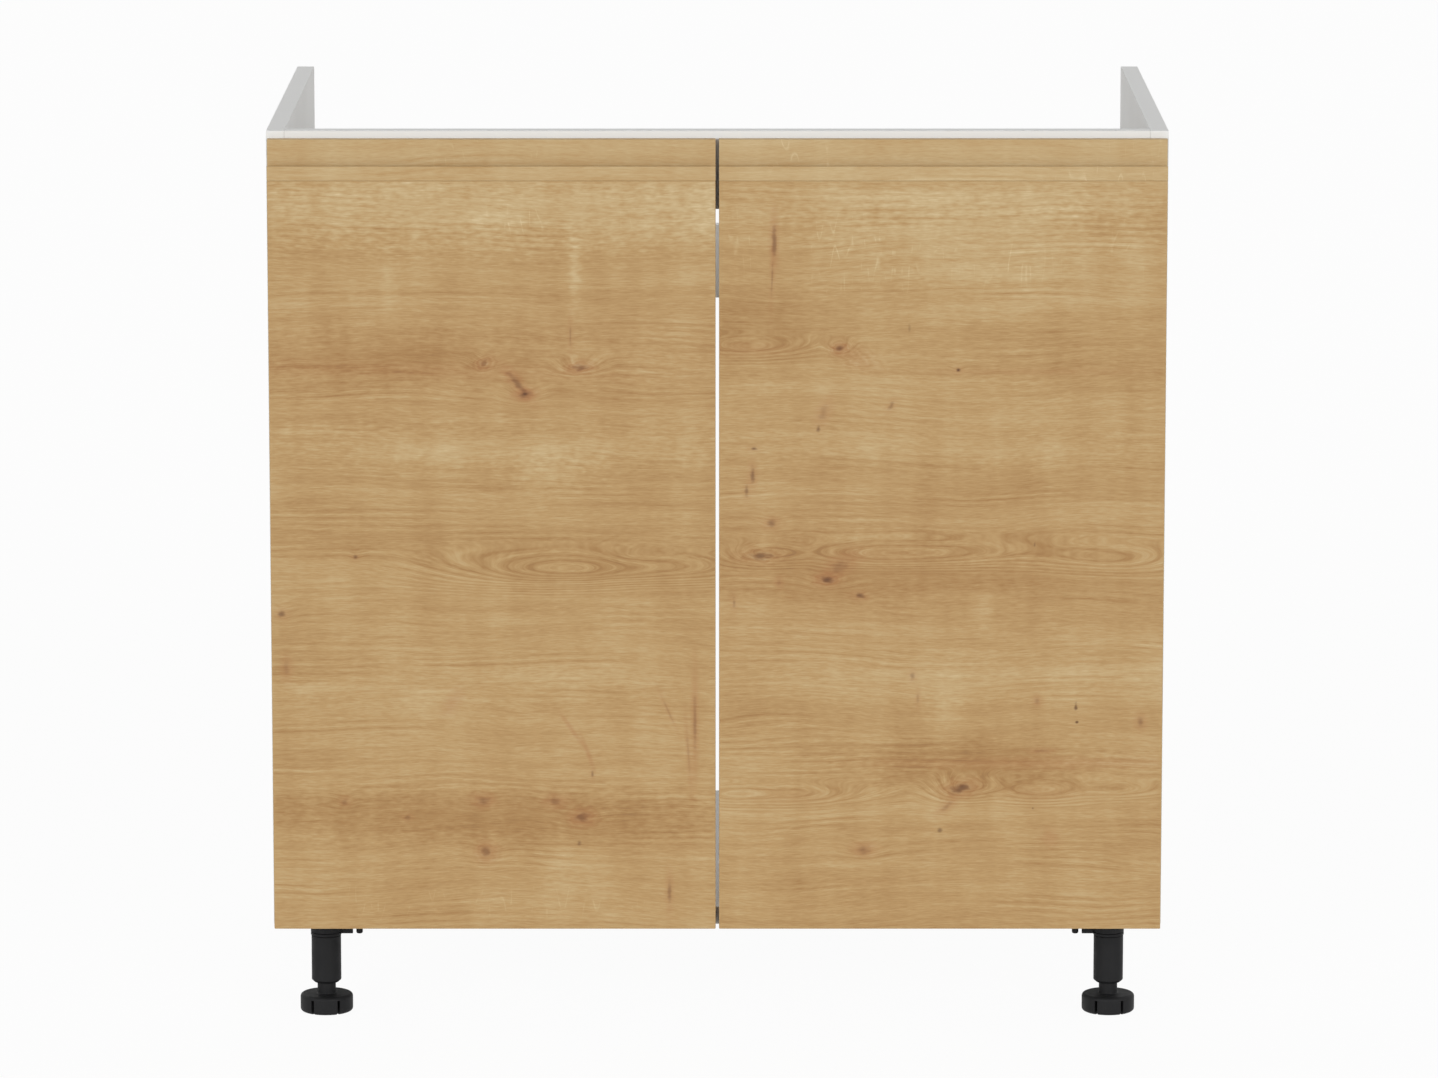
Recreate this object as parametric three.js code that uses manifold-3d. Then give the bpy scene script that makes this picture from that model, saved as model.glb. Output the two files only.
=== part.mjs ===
// Sink base cabinet, in millimetres, +Z up, fronts facing -Y.
// The carcass is five boards: two sides, a bottom, a front rail flush with the top and a rear rail set low,
// so that a sink bowl and its pipes have the middle to themselves. Back and top are open.
// Two overlay doors with grip profiles hang on concealed cup hinges, and the unit stands on four legs.
//
// Everything is laid out with y = 0 on the front edge of the carcass and z = 0 on the floor.
// Each half is drawn from the outer face of its side panel (x = 0) inwards, and the right half is mirrored.
import * as THREE from "three";
import { mergeVertices } from "three/addons/utils/BufferGeometryUtils.js";
import Module from "manifold-3d";

const wasm = await Module();
wasm.setup();

// ---------- Driving dimensions ----------

// Carcass
const CABINET_WIDTH = 800;
const CARCASS_HEIGHT = 720;
const CARCASS_DEPTH = 510;
const BOARD = 16;
const STANDING_HEIGHT = 100; // floor to underside of the carcass
const FRONT_RAIL_HEIGHT = 70;
const REAR_RAIL_HEIGHT = 70;
const REAR_RAIL_DROP = 150; // top of the rear rail below the top of the sides

// Doors
const DOOR_THICKNESS = 18;
const DOOR_BACK_GAP = 2; // door to carcass, bridged by the bumper
const DOOR_SIDE_REVEAL = 1.5;
const DOOR_CENTRE_GAP = 3;
const DOOR_TOP_REVEAL = 6.4;

// Grip profile on top of each door
const GRIP_HEIGHT = 36;
const GRIP_LIP_HEIGHT = 13;
const GRIP_LIP_THICKNESS = 3;
const GRIP_LIP_ROUND = 0.8;
const GRIP_GROOVE_WIDTH = 8.5;
const GRIP_GROOVE_FLOOR = 3.5;
const GRIP_WALL_THICKNESS = 10;
const GRIP_WALL_CURVE = 5; // height over which the groove runs out into the wall
const GRIP_WALL_FOOT_DROP = 5; // start of that run below the top of the lip
const GRIP_TOP_ROUND = 0.8;

// Legs
const LEG_SIDE_INSET = 42.5;
const LEG_FRONT_INSET = 85;
const LEG_REAR_INSET = 50;
const LEG_TUBE_RADIUS = 13.5;
const LEG_TUBE_BOTTOM = 27; // above the floor
const LEG_TUBE_CHAMFER = 2.5;
const LEG_SPIGOT_RADIUS = 11;
const SOCKET_RADIUS = 14;
const SOCKET_LENGTH = 29; // underside of the carcass to the lower edge of the sleeve
const SOCKET_PLATE = 4;
const SOCKET_PLATE_OUTER = 22; // reach of the plate from the leg axis, towards the side panel
const SOCKET_PLATE_INNER = 38;
const SOCKET_PLATE_HALF_DEPTH = 30;
const SOCKET_PLATE_CORNER = 6;
const SOCKET_RIB_THICKNESS = 3;
const SOCKET_LONG_RIB_REACH = 24.5;
const SOCKET_SHORT_RIB_REACH = 26;
const SOCKET_SHORT_RIB_LENGTH = 12;
const SOCKET_RIB_SETBACK = 1; // rib and boss ends above the lower edge of the sleeve
const SOCKET_BOSS_RADIUS = 3;
const SOCKET_BOSS_OFFSET = 30.5;
const FOOT_RADIUS = 24;
const FOOT_HEIGHT = 16.5;
const FOOT_ROUND = 3;
const FOOT_SPINDLE_RADIUS = 8.4;
const FOOT_SPINDLE_DROP = 28; // top of the spindle below the underside of the carcass
const FOOT_SLOTS = 6;
const FOOT_SLOT_WIDTH = 2.75;
const FOOT_SLOT_DEPTH = 9;
const FOOT_SLOT_TOP = 13.3;
const FOOT_RETRACTION = 10; // upward travel of the foot, which the bore of the tube leaves room for

// Connecting fittings: a bolt in the side and a cam in the board it holds
const CAM_BORE_RADIUS = 7.5;
const CAM_BORE_DEPTH = 12.7;
const CAM_INSET = 34; // cam centre from the butt joint
const CAM_RECESS_LENGTH = 8;
const CAM_RECESS_WIDTH = 1.6;
const CAM_RECESS_DEPTH = 2;
const BOLT_BORE_RADIUS = 4;
const BOLT_THREAD_RADIUS = 2.5;
const BOLT_THREAD_LENGTH = 11;
const BOLT_COLLAR_LENGTH = 3;
const BOLT_NECK_RADIUS = 2;
const BOLT_NECK_LENGTH = 5;
const BOLT_HEAD_RADIUS = 3.3;
const BOLT_HEAD_LENGTH = 4.5;
const BOTTOM_FITTING_INSET = 140; // from the front and the rear edge of the bottom

// Concealed hinges
const HINGE_FROM_TOP = 110; // from the top of the door
const HINGE_FROM_BOTTOM = 100;
const CUP_RADIUS = 17.5;
const CUP_EDGE_DISTANCE = 5; // rim of the cup to the edge of the door
const CUP_DEPTH = 12.8;
const CUP_WALL = 1;
const CUP_FLOOR = 0.9;
const CUP_FLANGE = 1;
const CUP_FLANGE_REACH = 16; // from the cup centre, away from the edge of the door
const CUP_FLANGE_HALF_HEIGHT = 29;
const INNER_ARM_PIN_INSET = 17.2; // pins of the arm from the inner face of the side panel
const INNER_ARM_PIN_SETBACK = 17.2; // behind the front edge of the carcass
const OUTER_ARM_PIN_INSET = 18.6;
const OUTER_ARM_PIN_ADVANCE = 6.8; // ahead of that edge, in the cup
const INNER_CUP_PIN_INSET = 9.5; // pins of the cup from the edge of the door
const INNER_CUP_PIN_DEPTH = 2.9; // below the back of the door
const OUTER_CUP_PIN_INSET = 15.4;
const OUTER_CUP_PIN_DEPTH = 6.85;
const INNER_CRANK_REACH = 3.7; // bend of the inner link from its cup pin
const INNER_CRANK_DIP = 4.6;
const OUTER_CRANK_REACH = 7.15; // bend of the outer link from its arm pin
const OUTER_CRANK_DIP = 5.05;
const PIN_RADIUS = 1.2;
const PIN_SEAT_DEPTH = 1.6;
const EYE_RADIUS = 2.4;
const LINK_HALF_WIDTH = 1.2;
const INNER_LINK_HALF_HEIGHT = 3;
const OUTER_LINK_PLATE = 2.2;
const ARM_CHEEK = 1.2;
const ARM_CHEEK_RADIUS = 3.1;
const LAYER_GAP = 0.4; // between pieces of the hinge that slide past each other
const PLATE_BASE = 1.8;
const PLATE_BASE_HALF_HEIGHT = 27;
const PLATE_BASE_LENGTH = 18;
const PLATE_BLOCK_LENGTH = 36;
const PLATE_BLOCK_HEIGHT = 5;
const PLATE_SETBACK = 37; // centre of the mounting plate behind the front edge

// Door bumpers
const BUMPER_RADIUS = 4;
const BUMPER_INSET = 18;

// Clearances
const CLEARANCE = 0.3; // around pieces seated in or turning in another
const BUTT_GAP = 0.02; // hairline left where two boards meet

// ---------- Derived places ----------

const HALF_WIDTH = CABINET_WIDTH / 2;
const CARCASS_TOP = STANDING_HEIGHT + CARCASS_HEIGHT;
const BOTTOM_MIDDLE = STANDING_HEIGHT + BOARD / 2;
const REAR_RAIL_TOP = CARCASS_TOP - REAR_RAIL_DROP;

const DOOR_BACK = -DOOR_BACK_GAP;
const DOOR_FRONT = DOOR_BACK - DOOR_THICKNESS;
const DOOR_EDGE = DOOR_SIDE_REVEAL;
const DOOR_FREE_EDGE = HALF_WIDTH - DOOR_CENTRE_GAP / 2;
const DOOR_TOP = CARCASS_TOP - DOOR_TOP_REVEAL;
const DOOR_BOTTOM = STANDING_HEIGHT;
const GRIP_BOTTOM = DOOR_TOP - GRIP_HEIGHT;

const CUP_X = DOOR_EDGE + CUP_EDGE_DISTANCE + CUP_RADIUS;
const HINGE_HEIGHTS = {
  upper: DOOR_TOP - HINGE_FROM_TOP,
  lower: DOOR_BOTTOM + HINGE_FROM_BOTTOM,
};

// Pins of the four-bar hinge seen from above, door closed
const INNER_ARM_PIN = [BOARD + INNER_ARM_PIN_INSET, INNER_ARM_PIN_SETBACK];
const OUTER_ARM_PIN = [BOARD + OUTER_ARM_PIN_INSET, -OUTER_ARM_PIN_ADVANCE];
const INNER_CUP_PIN = [DOOR_EDGE + INNER_CUP_PIN_INSET, DOOR_BACK - INNER_CUP_PIN_DEPTH];
const OUTER_CUP_PIN = [DOOR_EDGE + OUTER_CUP_PIN_INSET, DOOR_BACK - OUTER_CUP_PIN_DEPTH];
const INNER_CRANK = [INNER_CUP_PIN[0] + INNER_CRANK_REACH, INNER_CUP_PIN[1] - INNER_CRANK_DIP];
const OUTER_CRANK = [OUTER_ARM_PIN[0] - OUTER_CRANK_REACH, OUTER_ARM_PIN[1] - OUTER_CRANK_DIP];

// The layers of the hinge, as heights above and below its middle
const OUTER_PLATE_IN = INNER_LINK_HALF_HEIGHT + LAYER_GAP;
const OUTER_PLATE_OUT = OUTER_PLATE_IN + OUTER_LINK_PLATE;
const CHEEK_IN = OUTER_PLATE_OUT + LAYER_GAP;
const CHEEK_OUT = CHEEK_IN + ARM_CHEEK;
const PIN_BLOCK_IN = CHEEK_OUT + LAYER_GAP;
const PLATE_BLOCK_OUT = CHEEK_IN - CLEARANCE;

// Each fitting ties one board to both sides; turn swings the mouth of its cam bore from below to behind.
const FITTINGS = {
  bottom_front: { y: BOTTOM_FITTING_INSET, z: BOTTOM_MIDDLE, turn: 0 },
  bottom_rear: { y: CARCASS_DEPTH - BOTTOM_FITTING_INSET, z: BOTTOM_MIDDLE, turn: 0 },
  front_rail: { y: BOARD / 2, z: CARCASS_TOP - FRONT_RAIL_HEIGHT / 2, turn: Math.PI / 2 },
  rear_rail: {
    y: CARCASS_DEPTH - BOARD / 2,
    z: REAR_RAIL_TOP - REAR_RAIL_HEIGHT / 2,
    turn: Math.PI / 2,
  },
};

const LEG_PLACES = {
  front: LEG_FRONT_INSET,
  rear: CARCASS_DEPTH - LEG_REAR_INSET,
};
const FOOT_SPINDLE_TOP = STANDING_HEIGHT - FOOT_SPINDLE_DROP;

// ---------- Finishes ----------

const finish = (color, roughness, metalness = 0) =>
  new THREE.MeshStandardMaterial({ color, roughness, metalness });

const WHITE_MELAMINE = finish("#e8e8e6", 0.45);
const OAK_LAMINATE = finish("#c39f72", 0.5);
const BLACK_PLASTIC = finish("#26272b", 0.55);
const CLEAR_PLASTIC = finish("#dfe3e4", 0.3);
const NICKEL_PLATE = finish("#c9c8c4", 0.28, 1);
const ZINC_CASTING = finish("#b3b2ae", 0.42, 1);

// ---------- Shapes ----------

const ROUND_SIDES = 24;
const SMALL_SIDES = 10;
const ARC_STEPS = 3;
const GROOVE_STEPS = 12;
const WALL_FOOT_STEPS = 8;
const OVERSHOOT = 1; // how far a cutting or joining shape runs past the face it meets

/** Block between pairs of limits along X, Y and Z. */
function block([x0, x1], [y0, y1], [z0, z1]) {
  const geometry = new THREE.BoxGeometry(1, 1, 1);
  const corner = geometry.attributes.position;
  for (let i = 0; i < corner.count; i++) {
    const x = corner.getX(i) < 0 ? x0 : x1;
    const y = corner.getY(i) < 0 ? y0 : y1;
    const z = corner.getZ(i) < 0 ? z0 : z1;
    corner.setXYZ(i, x, y, z);
  }
  return geometry;
}

/** Cylinder along Z over the given heights. */
function rodZ(radius, [from, to], [x, y], sides = SMALL_SIDES) {
  return new THREE.CylinderGeometry(radius, radius, to - from, sides)
    .rotateX(Math.PI / 2)
    .translate(x, y, (from + to) / 2);
}

/** Cylinder along Y. */
function rodY(radius, [from, to], [x, z], sides = SMALL_SIDES) {
  return new THREE.CylinderGeometry(radius, radius, to - from, sides).translate(x, (from + to) / 2, z);
}

/** Cylinder along X. */
function rodX(radius, [from, to], [y, z], sides = SMALL_SIDES) {
  return new THREE.CylinderGeometry(radius, radius, to - from, sides)
    .rotateZ(Math.PI / 2)
    .translate((from + to) / 2, y, z);
}

/** Body of revolution about Z from [radius, height] pairs that start and end on the axis, lowest first. */
function turned(profile, sides = ROUND_SIDES) {
  const points = profile.map(([radius, height]) => new THREE.Vector2(radius, height));
  return new THREE.LatheGeometry(points, sides).rotateX(Math.PI / 2);
}

/** Flat outline in the XY plane, given as [x, y] pairs, raised over the given heights. */
function slab(outline, [from, to]) {
  const shape = new THREE.Shape(outline.map(([x, y]) => new THREE.Vector2(x, y)));
  return new THREE.ExtrudeGeometry(shape, { depth: to - from, bevelEnabled: false }).translate(0, 0, from);
}

/** Straight bar with parallel sides between two points of the XY plane. */
function strap([ax, ay], [bx, by], halfWidth, heights) {
  const length = Math.hypot(bx - ax, by - ay);
  const nx = (-(by - ay) / length) * halfWidth;
  const ny = ((bx - ax) / length) * halfWidth;
  const outline = [
    [ax + nx, ay + ny],
    [ax - nx, ay - ny],
    [bx - nx, by - ny],
    [bx + nx, by + ny],
  ];
  return slab(outline, heights);
}

/** Bar that runs from eye to eye over a crank, as one layer of a link. */
function crankedBar(start, crank, end, heights) {
  return fuse(
    rodZ(EYE_RADIUS, heights, start),
    strap(start, crank, LINK_HALF_WIDTH, heights),
    rodZ(LINK_HALF_WIDTH, heights, crank),
    strap(crank, end, LINK_HALF_WIDTH, heights),
    rodZ(EYE_RADIUS, heights, end),
  );
}

const mirrored = ([from, to]) => [-to, -from];
const bothSides = ([from, to], make) => [make([from, to]), make(mirrored([from, to]))];

/** Arc of a rounded corner as [x, y] pairs, from one angle to another in quarter turns. */
function arc([x, y], radius, fromQuarter, toQuarter, steps = ARC_STEPS) {
  return Array.from({ length: steps + 1 }, (_, i) => {
    const angle = (Math.PI / 2) * (fromQuarter + ((toQuarter - fromQuarter) * i) / steps);
    return [x + radius * Math.cos(angle), y + radius * Math.sin(angle)];
  });
}

// ---------- Joining and cutting ----------

function toSolid(geometry) {
  const bare = geometry.clone();
  bare.deleteAttribute("normal");
  bare.deleteAttribute("uv");
  const merged = mergeVertices(bare);
  return new wasm.Manifold(
    new wasm.Mesh({
      numProp: 3,
      vertProperties: merged.attributes.position.array,
      triVerts: new Uint32Array(merged.index.array),
    }),
  );
}

function toGeometry(solid) {
  const { vertProperties, triVerts } = solid.getMesh();
  return new THREE.BufferGeometry()
    .setAttribute("position", new THREE.BufferAttribute(vertProperties, 3))
    .setIndex(new THREE.BufferAttribute(triVerts, 1));
}

const combine = (shapes, how) => toGeometry(shapes.map(toSolid).reduce(how));
const fuse = (...shapes) => combine(shapes, (a, b) => a.add(b));
const cut = (body, ...tools) => combine([body, ...tools], (a, b) => a.subtract(b));
const common = (...shapes) => combine(shapes, (a, b) => a.intersect(b));

function mesh(name, geometry, material) {
  const flat = geometry.index ? geometry.toNonIndexed() : geometry;
  flat.computeVertexNormals();
  const made = new THREE.Mesh(flat, material);
  made.name = name;
  return made;
}

// ---------- Carcass ----------

/** Bores in both ends of a board for the fitting that ties it to the sides. */
function fittingBores({ y, z, turn }) {
  return [-1, 1].map((side) => {
    const along = (distance) => side * (HALF_WIDTH - BOARD - distance);
    const ends = [along(-OVERSHOOT), along(CAM_INSET)].sort((a, b) => a - b);
    const mouth = [-BOARD / 2 - OVERSHOOT, -BOARD / 2 + CAM_BORE_DEPTH];
    return fuse(
      rodX(BOLT_BORE_RADIUS, ends, [0, 0]),
      rodZ(CAM_BORE_RADIUS, mouth, [along(CAM_INSET), 0], ROUND_SIDES),
    )
      .rotateX(turn)
      .translate(0, y, z);
  });
}

/** Board between the two sides, bored for its fittings. */
function crossBoard(depths, heights, fittings) {
  const reach = HALF_WIDTH - BOARD - BUTT_GAP;
  return cut(block([-reach, reach], depths, heights), ...fittings.flatMap(fittingBores));
}

function sidePanel() {
  const panel = block([0, BOARD], [0, CARCASS_DEPTH], [STANDING_HEIGHT, CARCASS_TOP]);
  const seat = [BOARD - BOLT_THREAD_LENGTH - CLEARANCE, BOARD + OVERSHOOT];
  const seats = Object.values(FITTINGS).map(({ y, z }) =>
    rodX(BOLT_THREAD_RADIUS + CLEARANCE, seat, [y, z]),
  );
  return cut(panel, ...seats);
}

function bottomPanel() {
  const heights = [STANDING_HEIGHT, STANDING_HEIGHT + BOARD];
  return crossBoard([0, CARCASS_DEPTH], heights, [FITTINGS.bottom_front, FITTINGS.bottom_rear]);
}

function frontRail() {
  return crossBoard([0, BOARD], [CARCASS_TOP - FRONT_RAIL_HEIGHT, CARCASS_TOP], [FITTINGS.front_rail]);
}

function rearRail() {
  const depths = [CARCASS_DEPTH - BOARD, CARCASS_DEPTH];
  return crossBoard(depths, [REAR_RAIL_TOP - REAR_RAIL_HEIGHT, REAR_RAIL_TOP], [FITTINGS.rear_rail]);
}

// ---------- Fittings, drawn from the butt joint inwards with the mouth of the cam below ----------

function connectingBolt() {
  const headEnd = CAM_INSET + BOLT_HEAD_LENGTH / 2;
  const headStart = headEnd - BOLT_HEAD_LENGTH;
  const neckStart = headStart - BOLT_NECK_LENGTH;
  const collarRadius = BOLT_BORE_RADIUS - CLEARANCE;
  const profile = [
    [0, -BOLT_THREAD_LENGTH],
    [BOLT_THREAD_RADIUS, -BOLT_THREAD_LENGTH],
    [BOLT_THREAD_RADIUS, CLEARANCE],
    [collarRadius, CLEARANCE],
    [collarRadius, CLEARANCE + BOLT_COLLAR_LENGTH],
    [BOLT_THREAD_RADIUS, CLEARANCE + BOLT_COLLAR_LENGTH],
    [BOLT_THREAD_RADIUS, neckStart],
    [BOLT_NECK_RADIUS, neckStart],
    [BOLT_NECK_RADIUS, headStart],
    [BOLT_HEAD_RADIUS, headStart],
    [BOLT_HEAD_RADIUS, headEnd],
    [0, headEnd],
  ];
  return turned(profile, SMALL_SIDES).rotateY(Math.PI / 2);
}

function camHousing() {
  const face = -BOARD / 2;
  const radius = CAM_BORE_RADIUS - CLEARANCE;
  const headRoom = BOLT_HEAD_RADIUS + CLEARANCE;
  const mouthEnd = CAM_INSET + BOLT_HEAD_LENGTH / 2 + CLEARANCE;
  const centre = [CAM_INSET, 0];
  const body = rodZ(radius, [face, face + CAM_BORE_DEPTH - CLEARANCE], centre, ROUND_SIDES);
  const mouth = block([CAM_INSET - CAM_BORE_RADIUS, mouthEnd], [-headRoom, headRoom], [-headRoom, headRoom]);
  const depth = [face - OVERSHOOT, face + CAM_RECESS_DEPTH];
  const reach = CAM_RECESS_LENGTH / 2;
  const thin = CAM_RECESS_WIDTH / 2;
  const recess = [
    block([CAM_INSET - reach, CAM_INSET + reach], [-thin, thin], depth),
    block([CAM_INSET - thin, CAM_INSET + thin], [-reach, reach], depth),
  ];
  return cut(body, mouth, ...recess);
}

function fitting(name, { y, z, turn }) {
  const group = new THREE.Group();
  group.position.set(BOARD, y, z);
  group.rotation.x = turn;
  group.add(mesh(name + "_bolt", connectingBolt(), NICKEL_PLATE));
  group.add(mesh(name + "_cam", camHousing(), ZINC_CASTING));
  return group;
}

// ---------- Doors ----------

function doorBoard() {
  const board = block([DOOR_EDGE, DOOR_FREE_EDGE], [DOOR_FRONT, DOOR_BACK], [DOOR_BOTTOM, GRIP_BOTTOM]);
  const depth = [DOOR_BACK - CUP_DEPTH - CLEARANCE, DOOR_BACK + OVERSHOOT];
  const bores = Object.values(HINGE_HEIGHTS).map((height) =>
    rodY(CUP_RADIUS + CLEARANCE, depth, [CUP_X, height], ROUND_SIDES),
  );
  return cut(board, ...bores);
}

/** Section of the grip profile: distance behind the door front, height above the door board. */
function gripSection() {
  const round = GRIP_LIP_ROUND;
  const topRound = GRIP_TOP_ROUND;
  const wall = DOOR_THICKNESS - GRIP_WALL_THICKNESS;
  const grooveRadius = GRIP_GROOVE_WIDTH / 2;
  const grooveBack = GRIP_LIP_THICKNESS + GRIP_GROOVE_WIDTH;
  const grooveCentre = [GRIP_LIP_THICKNESS + grooveRadius, GRIP_GROOVE_FLOOR + grooveRadius];
  const foot = GRIP_LIP_HEIGHT - GRIP_WALL_FOOT_DROP;
  const wallFoot = new THREE.CubicBezierCurve(
    new THREE.Vector2(grooveBack, foot),
    new THREE.Vector2(grooveBack, foot + GRIP_WALL_CURVE / 2),
    new THREE.Vector2(wall, foot + GRIP_WALL_CURVE / 2),
    new THREE.Vector2(wall, foot + GRIP_WALL_CURVE),
  );
  return [
    [0, BUTT_GAP],
    ...arc([round, GRIP_LIP_HEIGHT - round], round, 2, 1),
    ...arc([GRIP_LIP_THICKNESS - round, GRIP_LIP_HEIGHT - round], round, 1, 0),
    ...arc(grooveCentre, grooveRadius, 2, 4, GROOVE_STEPS),
    ...wallFoot.getPoints(WALL_FOOT_STEPS).map(({ x, y }) => [x, y]),
    ...arc([wall + topRound, GRIP_HEIGHT - topRound], topRound, 2, 1),
    ...arc([DOOR_THICKNESS - topRound, GRIP_HEIGHT - topRound], topRound, 1, 0),
    [DOOR_THICKNESS, BUTT_GAP],
  ];
}

function gripProfile() {
  const alongY = new THREE.Vector3(0, 1, 0);
  const alongZ = new THREE.Vector3(0, 0, 1);
  const alongX = new THREE.Vector3(1, 0, 0);
  return slab(gripSection(), [DOOR_EDGE, DOOR_FREE_EDGE])
    .applyMatrix4(new THREE.Matrix4().makeBasis(alongY, alongZ, alongX))
    .translate(0, DOOR_FRONT, GRIP_BOTTOM);
}

function bumper() {
  const thickness = [DOOR_BACK, DOOR_BACK + DOOR_BACK_GAP - CLEARANCE];
  const place = [DOOR_FREE_EDGE - BUMPER_INSET, GRIP_BOTTOM - BUMPER_INSET];
  return rodY(BUMPER_RADIUS, thickness, place);
}

// ---------- Hinges, drawn about the middle height of the cup ----------

/** Cup let into the back of the door, with the flange it is screwed on by and the seats of two pins. */
function hingeCup() {
  const inside = CUP_RADIUS - CUP_WALL;
  const lowest = DOOR_BACK - CUP_DEPTH;
  const floorTop = lowest + CUP_FLOOR;
  const centre = [CUP_X, 0];
  const flangeFace = DOOR_BACK + CUP_FLANGE;
  const envelope = rodY(CUP_RADIUS, [lowest, DOOR_BACK], centre, ROUND_SIDES);
  const shell = cut(envelope, rodY(inside, [floorTop, DOOR_BACK + OVERSHOOT], centre, ROUND_SIDES));
  const flange = cut(
    block(
      [CUP_X, CUP_X + CUP_FLANGE_REACH],
      [DOOR_BACK + BUTT_GAP, flangeFace],
      [-CUP_FLANGE_HALF_HEIGHT, CUP_FLANGE_HALF_HEIGHT],
    ),
    rodY(inside, [DOOR_BACK - OVERSHOOT, flangeFace + OVERSHOOT], centre, ROUND_SIDES),
  );
  // The flange overhangs the bore; a collar of the shell's own diameter carries it.
  const collar = cut(
    rodY(CUP_RADIUS, [DOOR_BACK - CUP_WALL, flangeFace], centre, ROUND_SIDES),
    rodY(inside, [lowest, flangeFace + OVERSHOOT], centre, ROUND_SIDES),
    block(
      [CUP_X - CUP_RADIUS - OVERSHOOT, CUP_X],
      [DOOR_BACK, flangeFace + OVERSHOOT],
      [-CUP_RADIUS, CUP_RADIUS],
    ),
  );
  const seatReach = EYE_RADIUS + CLEARANCE;
  const seatTop = INNER_CUP_PIN[1] + EYE_RADIUS;
  const seats = bothSides([PIN_BLOCK_IN, CUP_RADIUS], (heights) =>
    common(
      envelope,
      block([INNER_CUP_PIN[0] - seatReach, OUTER_CUP_PIN[0] + seatReach], [lowest, seatTop], heights),
    ),
  );
  const boreEnd = PIN_BLOCK_IN + PIN_SEAT_DEPTH + CLEARANCE;
  const pinBore = rodZ(PIN_RADIUS + CLEARANCE, [-boreEnd, boreEnd], INNER_CUP_PIN);
  const seated = fuse(shell, flange, collar, ...seats);
  const stubs = bothSides([OUTER_PLATE_OUT + LAYER_GAP, PIN_BLOCK_IN + OVERSHOOT], (heights) =>
    rodZ(PIN_RADIUS, heights, OUTER_CUP_PIN),
  );
  return fuse(cut(seated, pinBore), ...stubs);
}

/** Middle link, with the pins that turn in the arm and in the cup. */
function innerLink() {
  const middle = [-INNER_LINK_HALF_HEIGHT, INNER_LINK_HALF_HEIGHT];
  return fuse(
    crankedBar(INNER_CUP_PIN, INNER_CRANK, INNER_ARM_PIN, middle),
    rodZ(PIN_RADIUS, [-CHEEK_OUT, CHEEK_OUT], INNER_ARM_PIN),
    rodZ(PIN_RADIUS, [-PIN_BLOCK_IN - PIN_SEAT_DEPTH, PIN_BLOCK_IN + PIN_SEAT_DEPTH], INNER_CUP_PIN),
  );
}

/** Pair of plates either side of the middle link, on one pin in the arm; their eyes at the cup are open. */
function outerLink() {
  const plates = bothSides([OUTER_PLATE_IN, OUTER_PLATE_OUT], (heights) =>
    crankedBar(OUTER_CUP_PIN, OUTER_CRANK, OUTER_ARM_PIN, heights),
  );
  const eye = rodZ(PIN_RADIUS + CLEARANCE, [-CHEEK_OUT, CHEEK_OUT], OUTER_CUP_PIN);
  return cut(fuse(...plates, rodZ(PIN_RADIUS, [-CHEEK_OUT, CHEEK_OUT], OUTER_ARM_PIN)), eye);
}

/** Channel of the arm: two cheeks that hold the link pins, and a back that rides over the mounting plate. */
function hingeArm() {
  const back = BOARD + PLATE_BASE + PLATE_BLOCK_HEIGHT + CLEARANCE + ARM_CHEEK;
  const hem = BOARD + PLATE_BASE + CLEARANCE;
  const crest = INNER_ARM_PIN[0] + EYE_RADIUS + LAYER_GAP + ARM_CHEEK;
  const rear = PLATE_SETBACK + PLATE_BLOCK_LENGTH / 2;
  const front = PLATE_SETBACK - PLATE_BLOCK_LENGTH / 2;
  const hump = INNER_ARM_PIN[1] + EYE_RADIUS + LAYER_GAP;
  const slope = hump + (crest - back);
  const side = [
    [hem, front],
    [INNER_ARM_PIN[0] - ARM_CHEEK_RADIUS, INNER_ARM_PIN[1] - ARM_CHEEK_RADIUS],
    [INNER_ARM_PIN[0], DOOR_BACK + ARM_CHEEK_RADIUS],
    [crest, DOOR_BACK + ARM_CHEEK_RADIUS],
    [crest, hump],
    [back, slope],
    [back, rear],
    [hem, rear],
  ];
  const cheeks = bothSides([CHEEK_IN, CHEEK_OUT], (heights) =>
    fuse(
      slab(side, heights),
      strap(INNER_ARM_PIN, OUTER_ARM_PIN, ARM_CHEEK_RADIUS, heights),
      rodZ(ARM_CHEEK_RADIUS, heights, OUTER_ARM_PIN, ROUND_SIDES),
    ),
  );
  const web = slab(
    [
      [crest - ARM_CHEEK, DOOR_BACK + ARM_CHEEK_RADIUS],
      [crest, DOOR_BACK + ARM_CHEEK_RADIUS],
      [crest, hump],
      [back, slope],
      [back, rear],
      [back - ARM_CHEEK, rear],
      [back - ARM_CHEEK, slope - ARM_CHEEK / 2],
      [crest - ARM_CHEEK, hump - ARM_CHEEK / 2],
    ],
    [-CHEEK_OUT, CHEEK_OUT],
  );
  const bores = [INNER_ARM_PIN, OUTER_ARM_PIN].map((pin) =>
    rodZ(PIN_RADIUS + CLEARANCE, [-CHEEK_OUT - OVERSHOOT, CHEEK_OUT + OVERSHOOT], pin),
  );
  return cut(fuse(...cheeks, web), ...bores);
}

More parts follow.
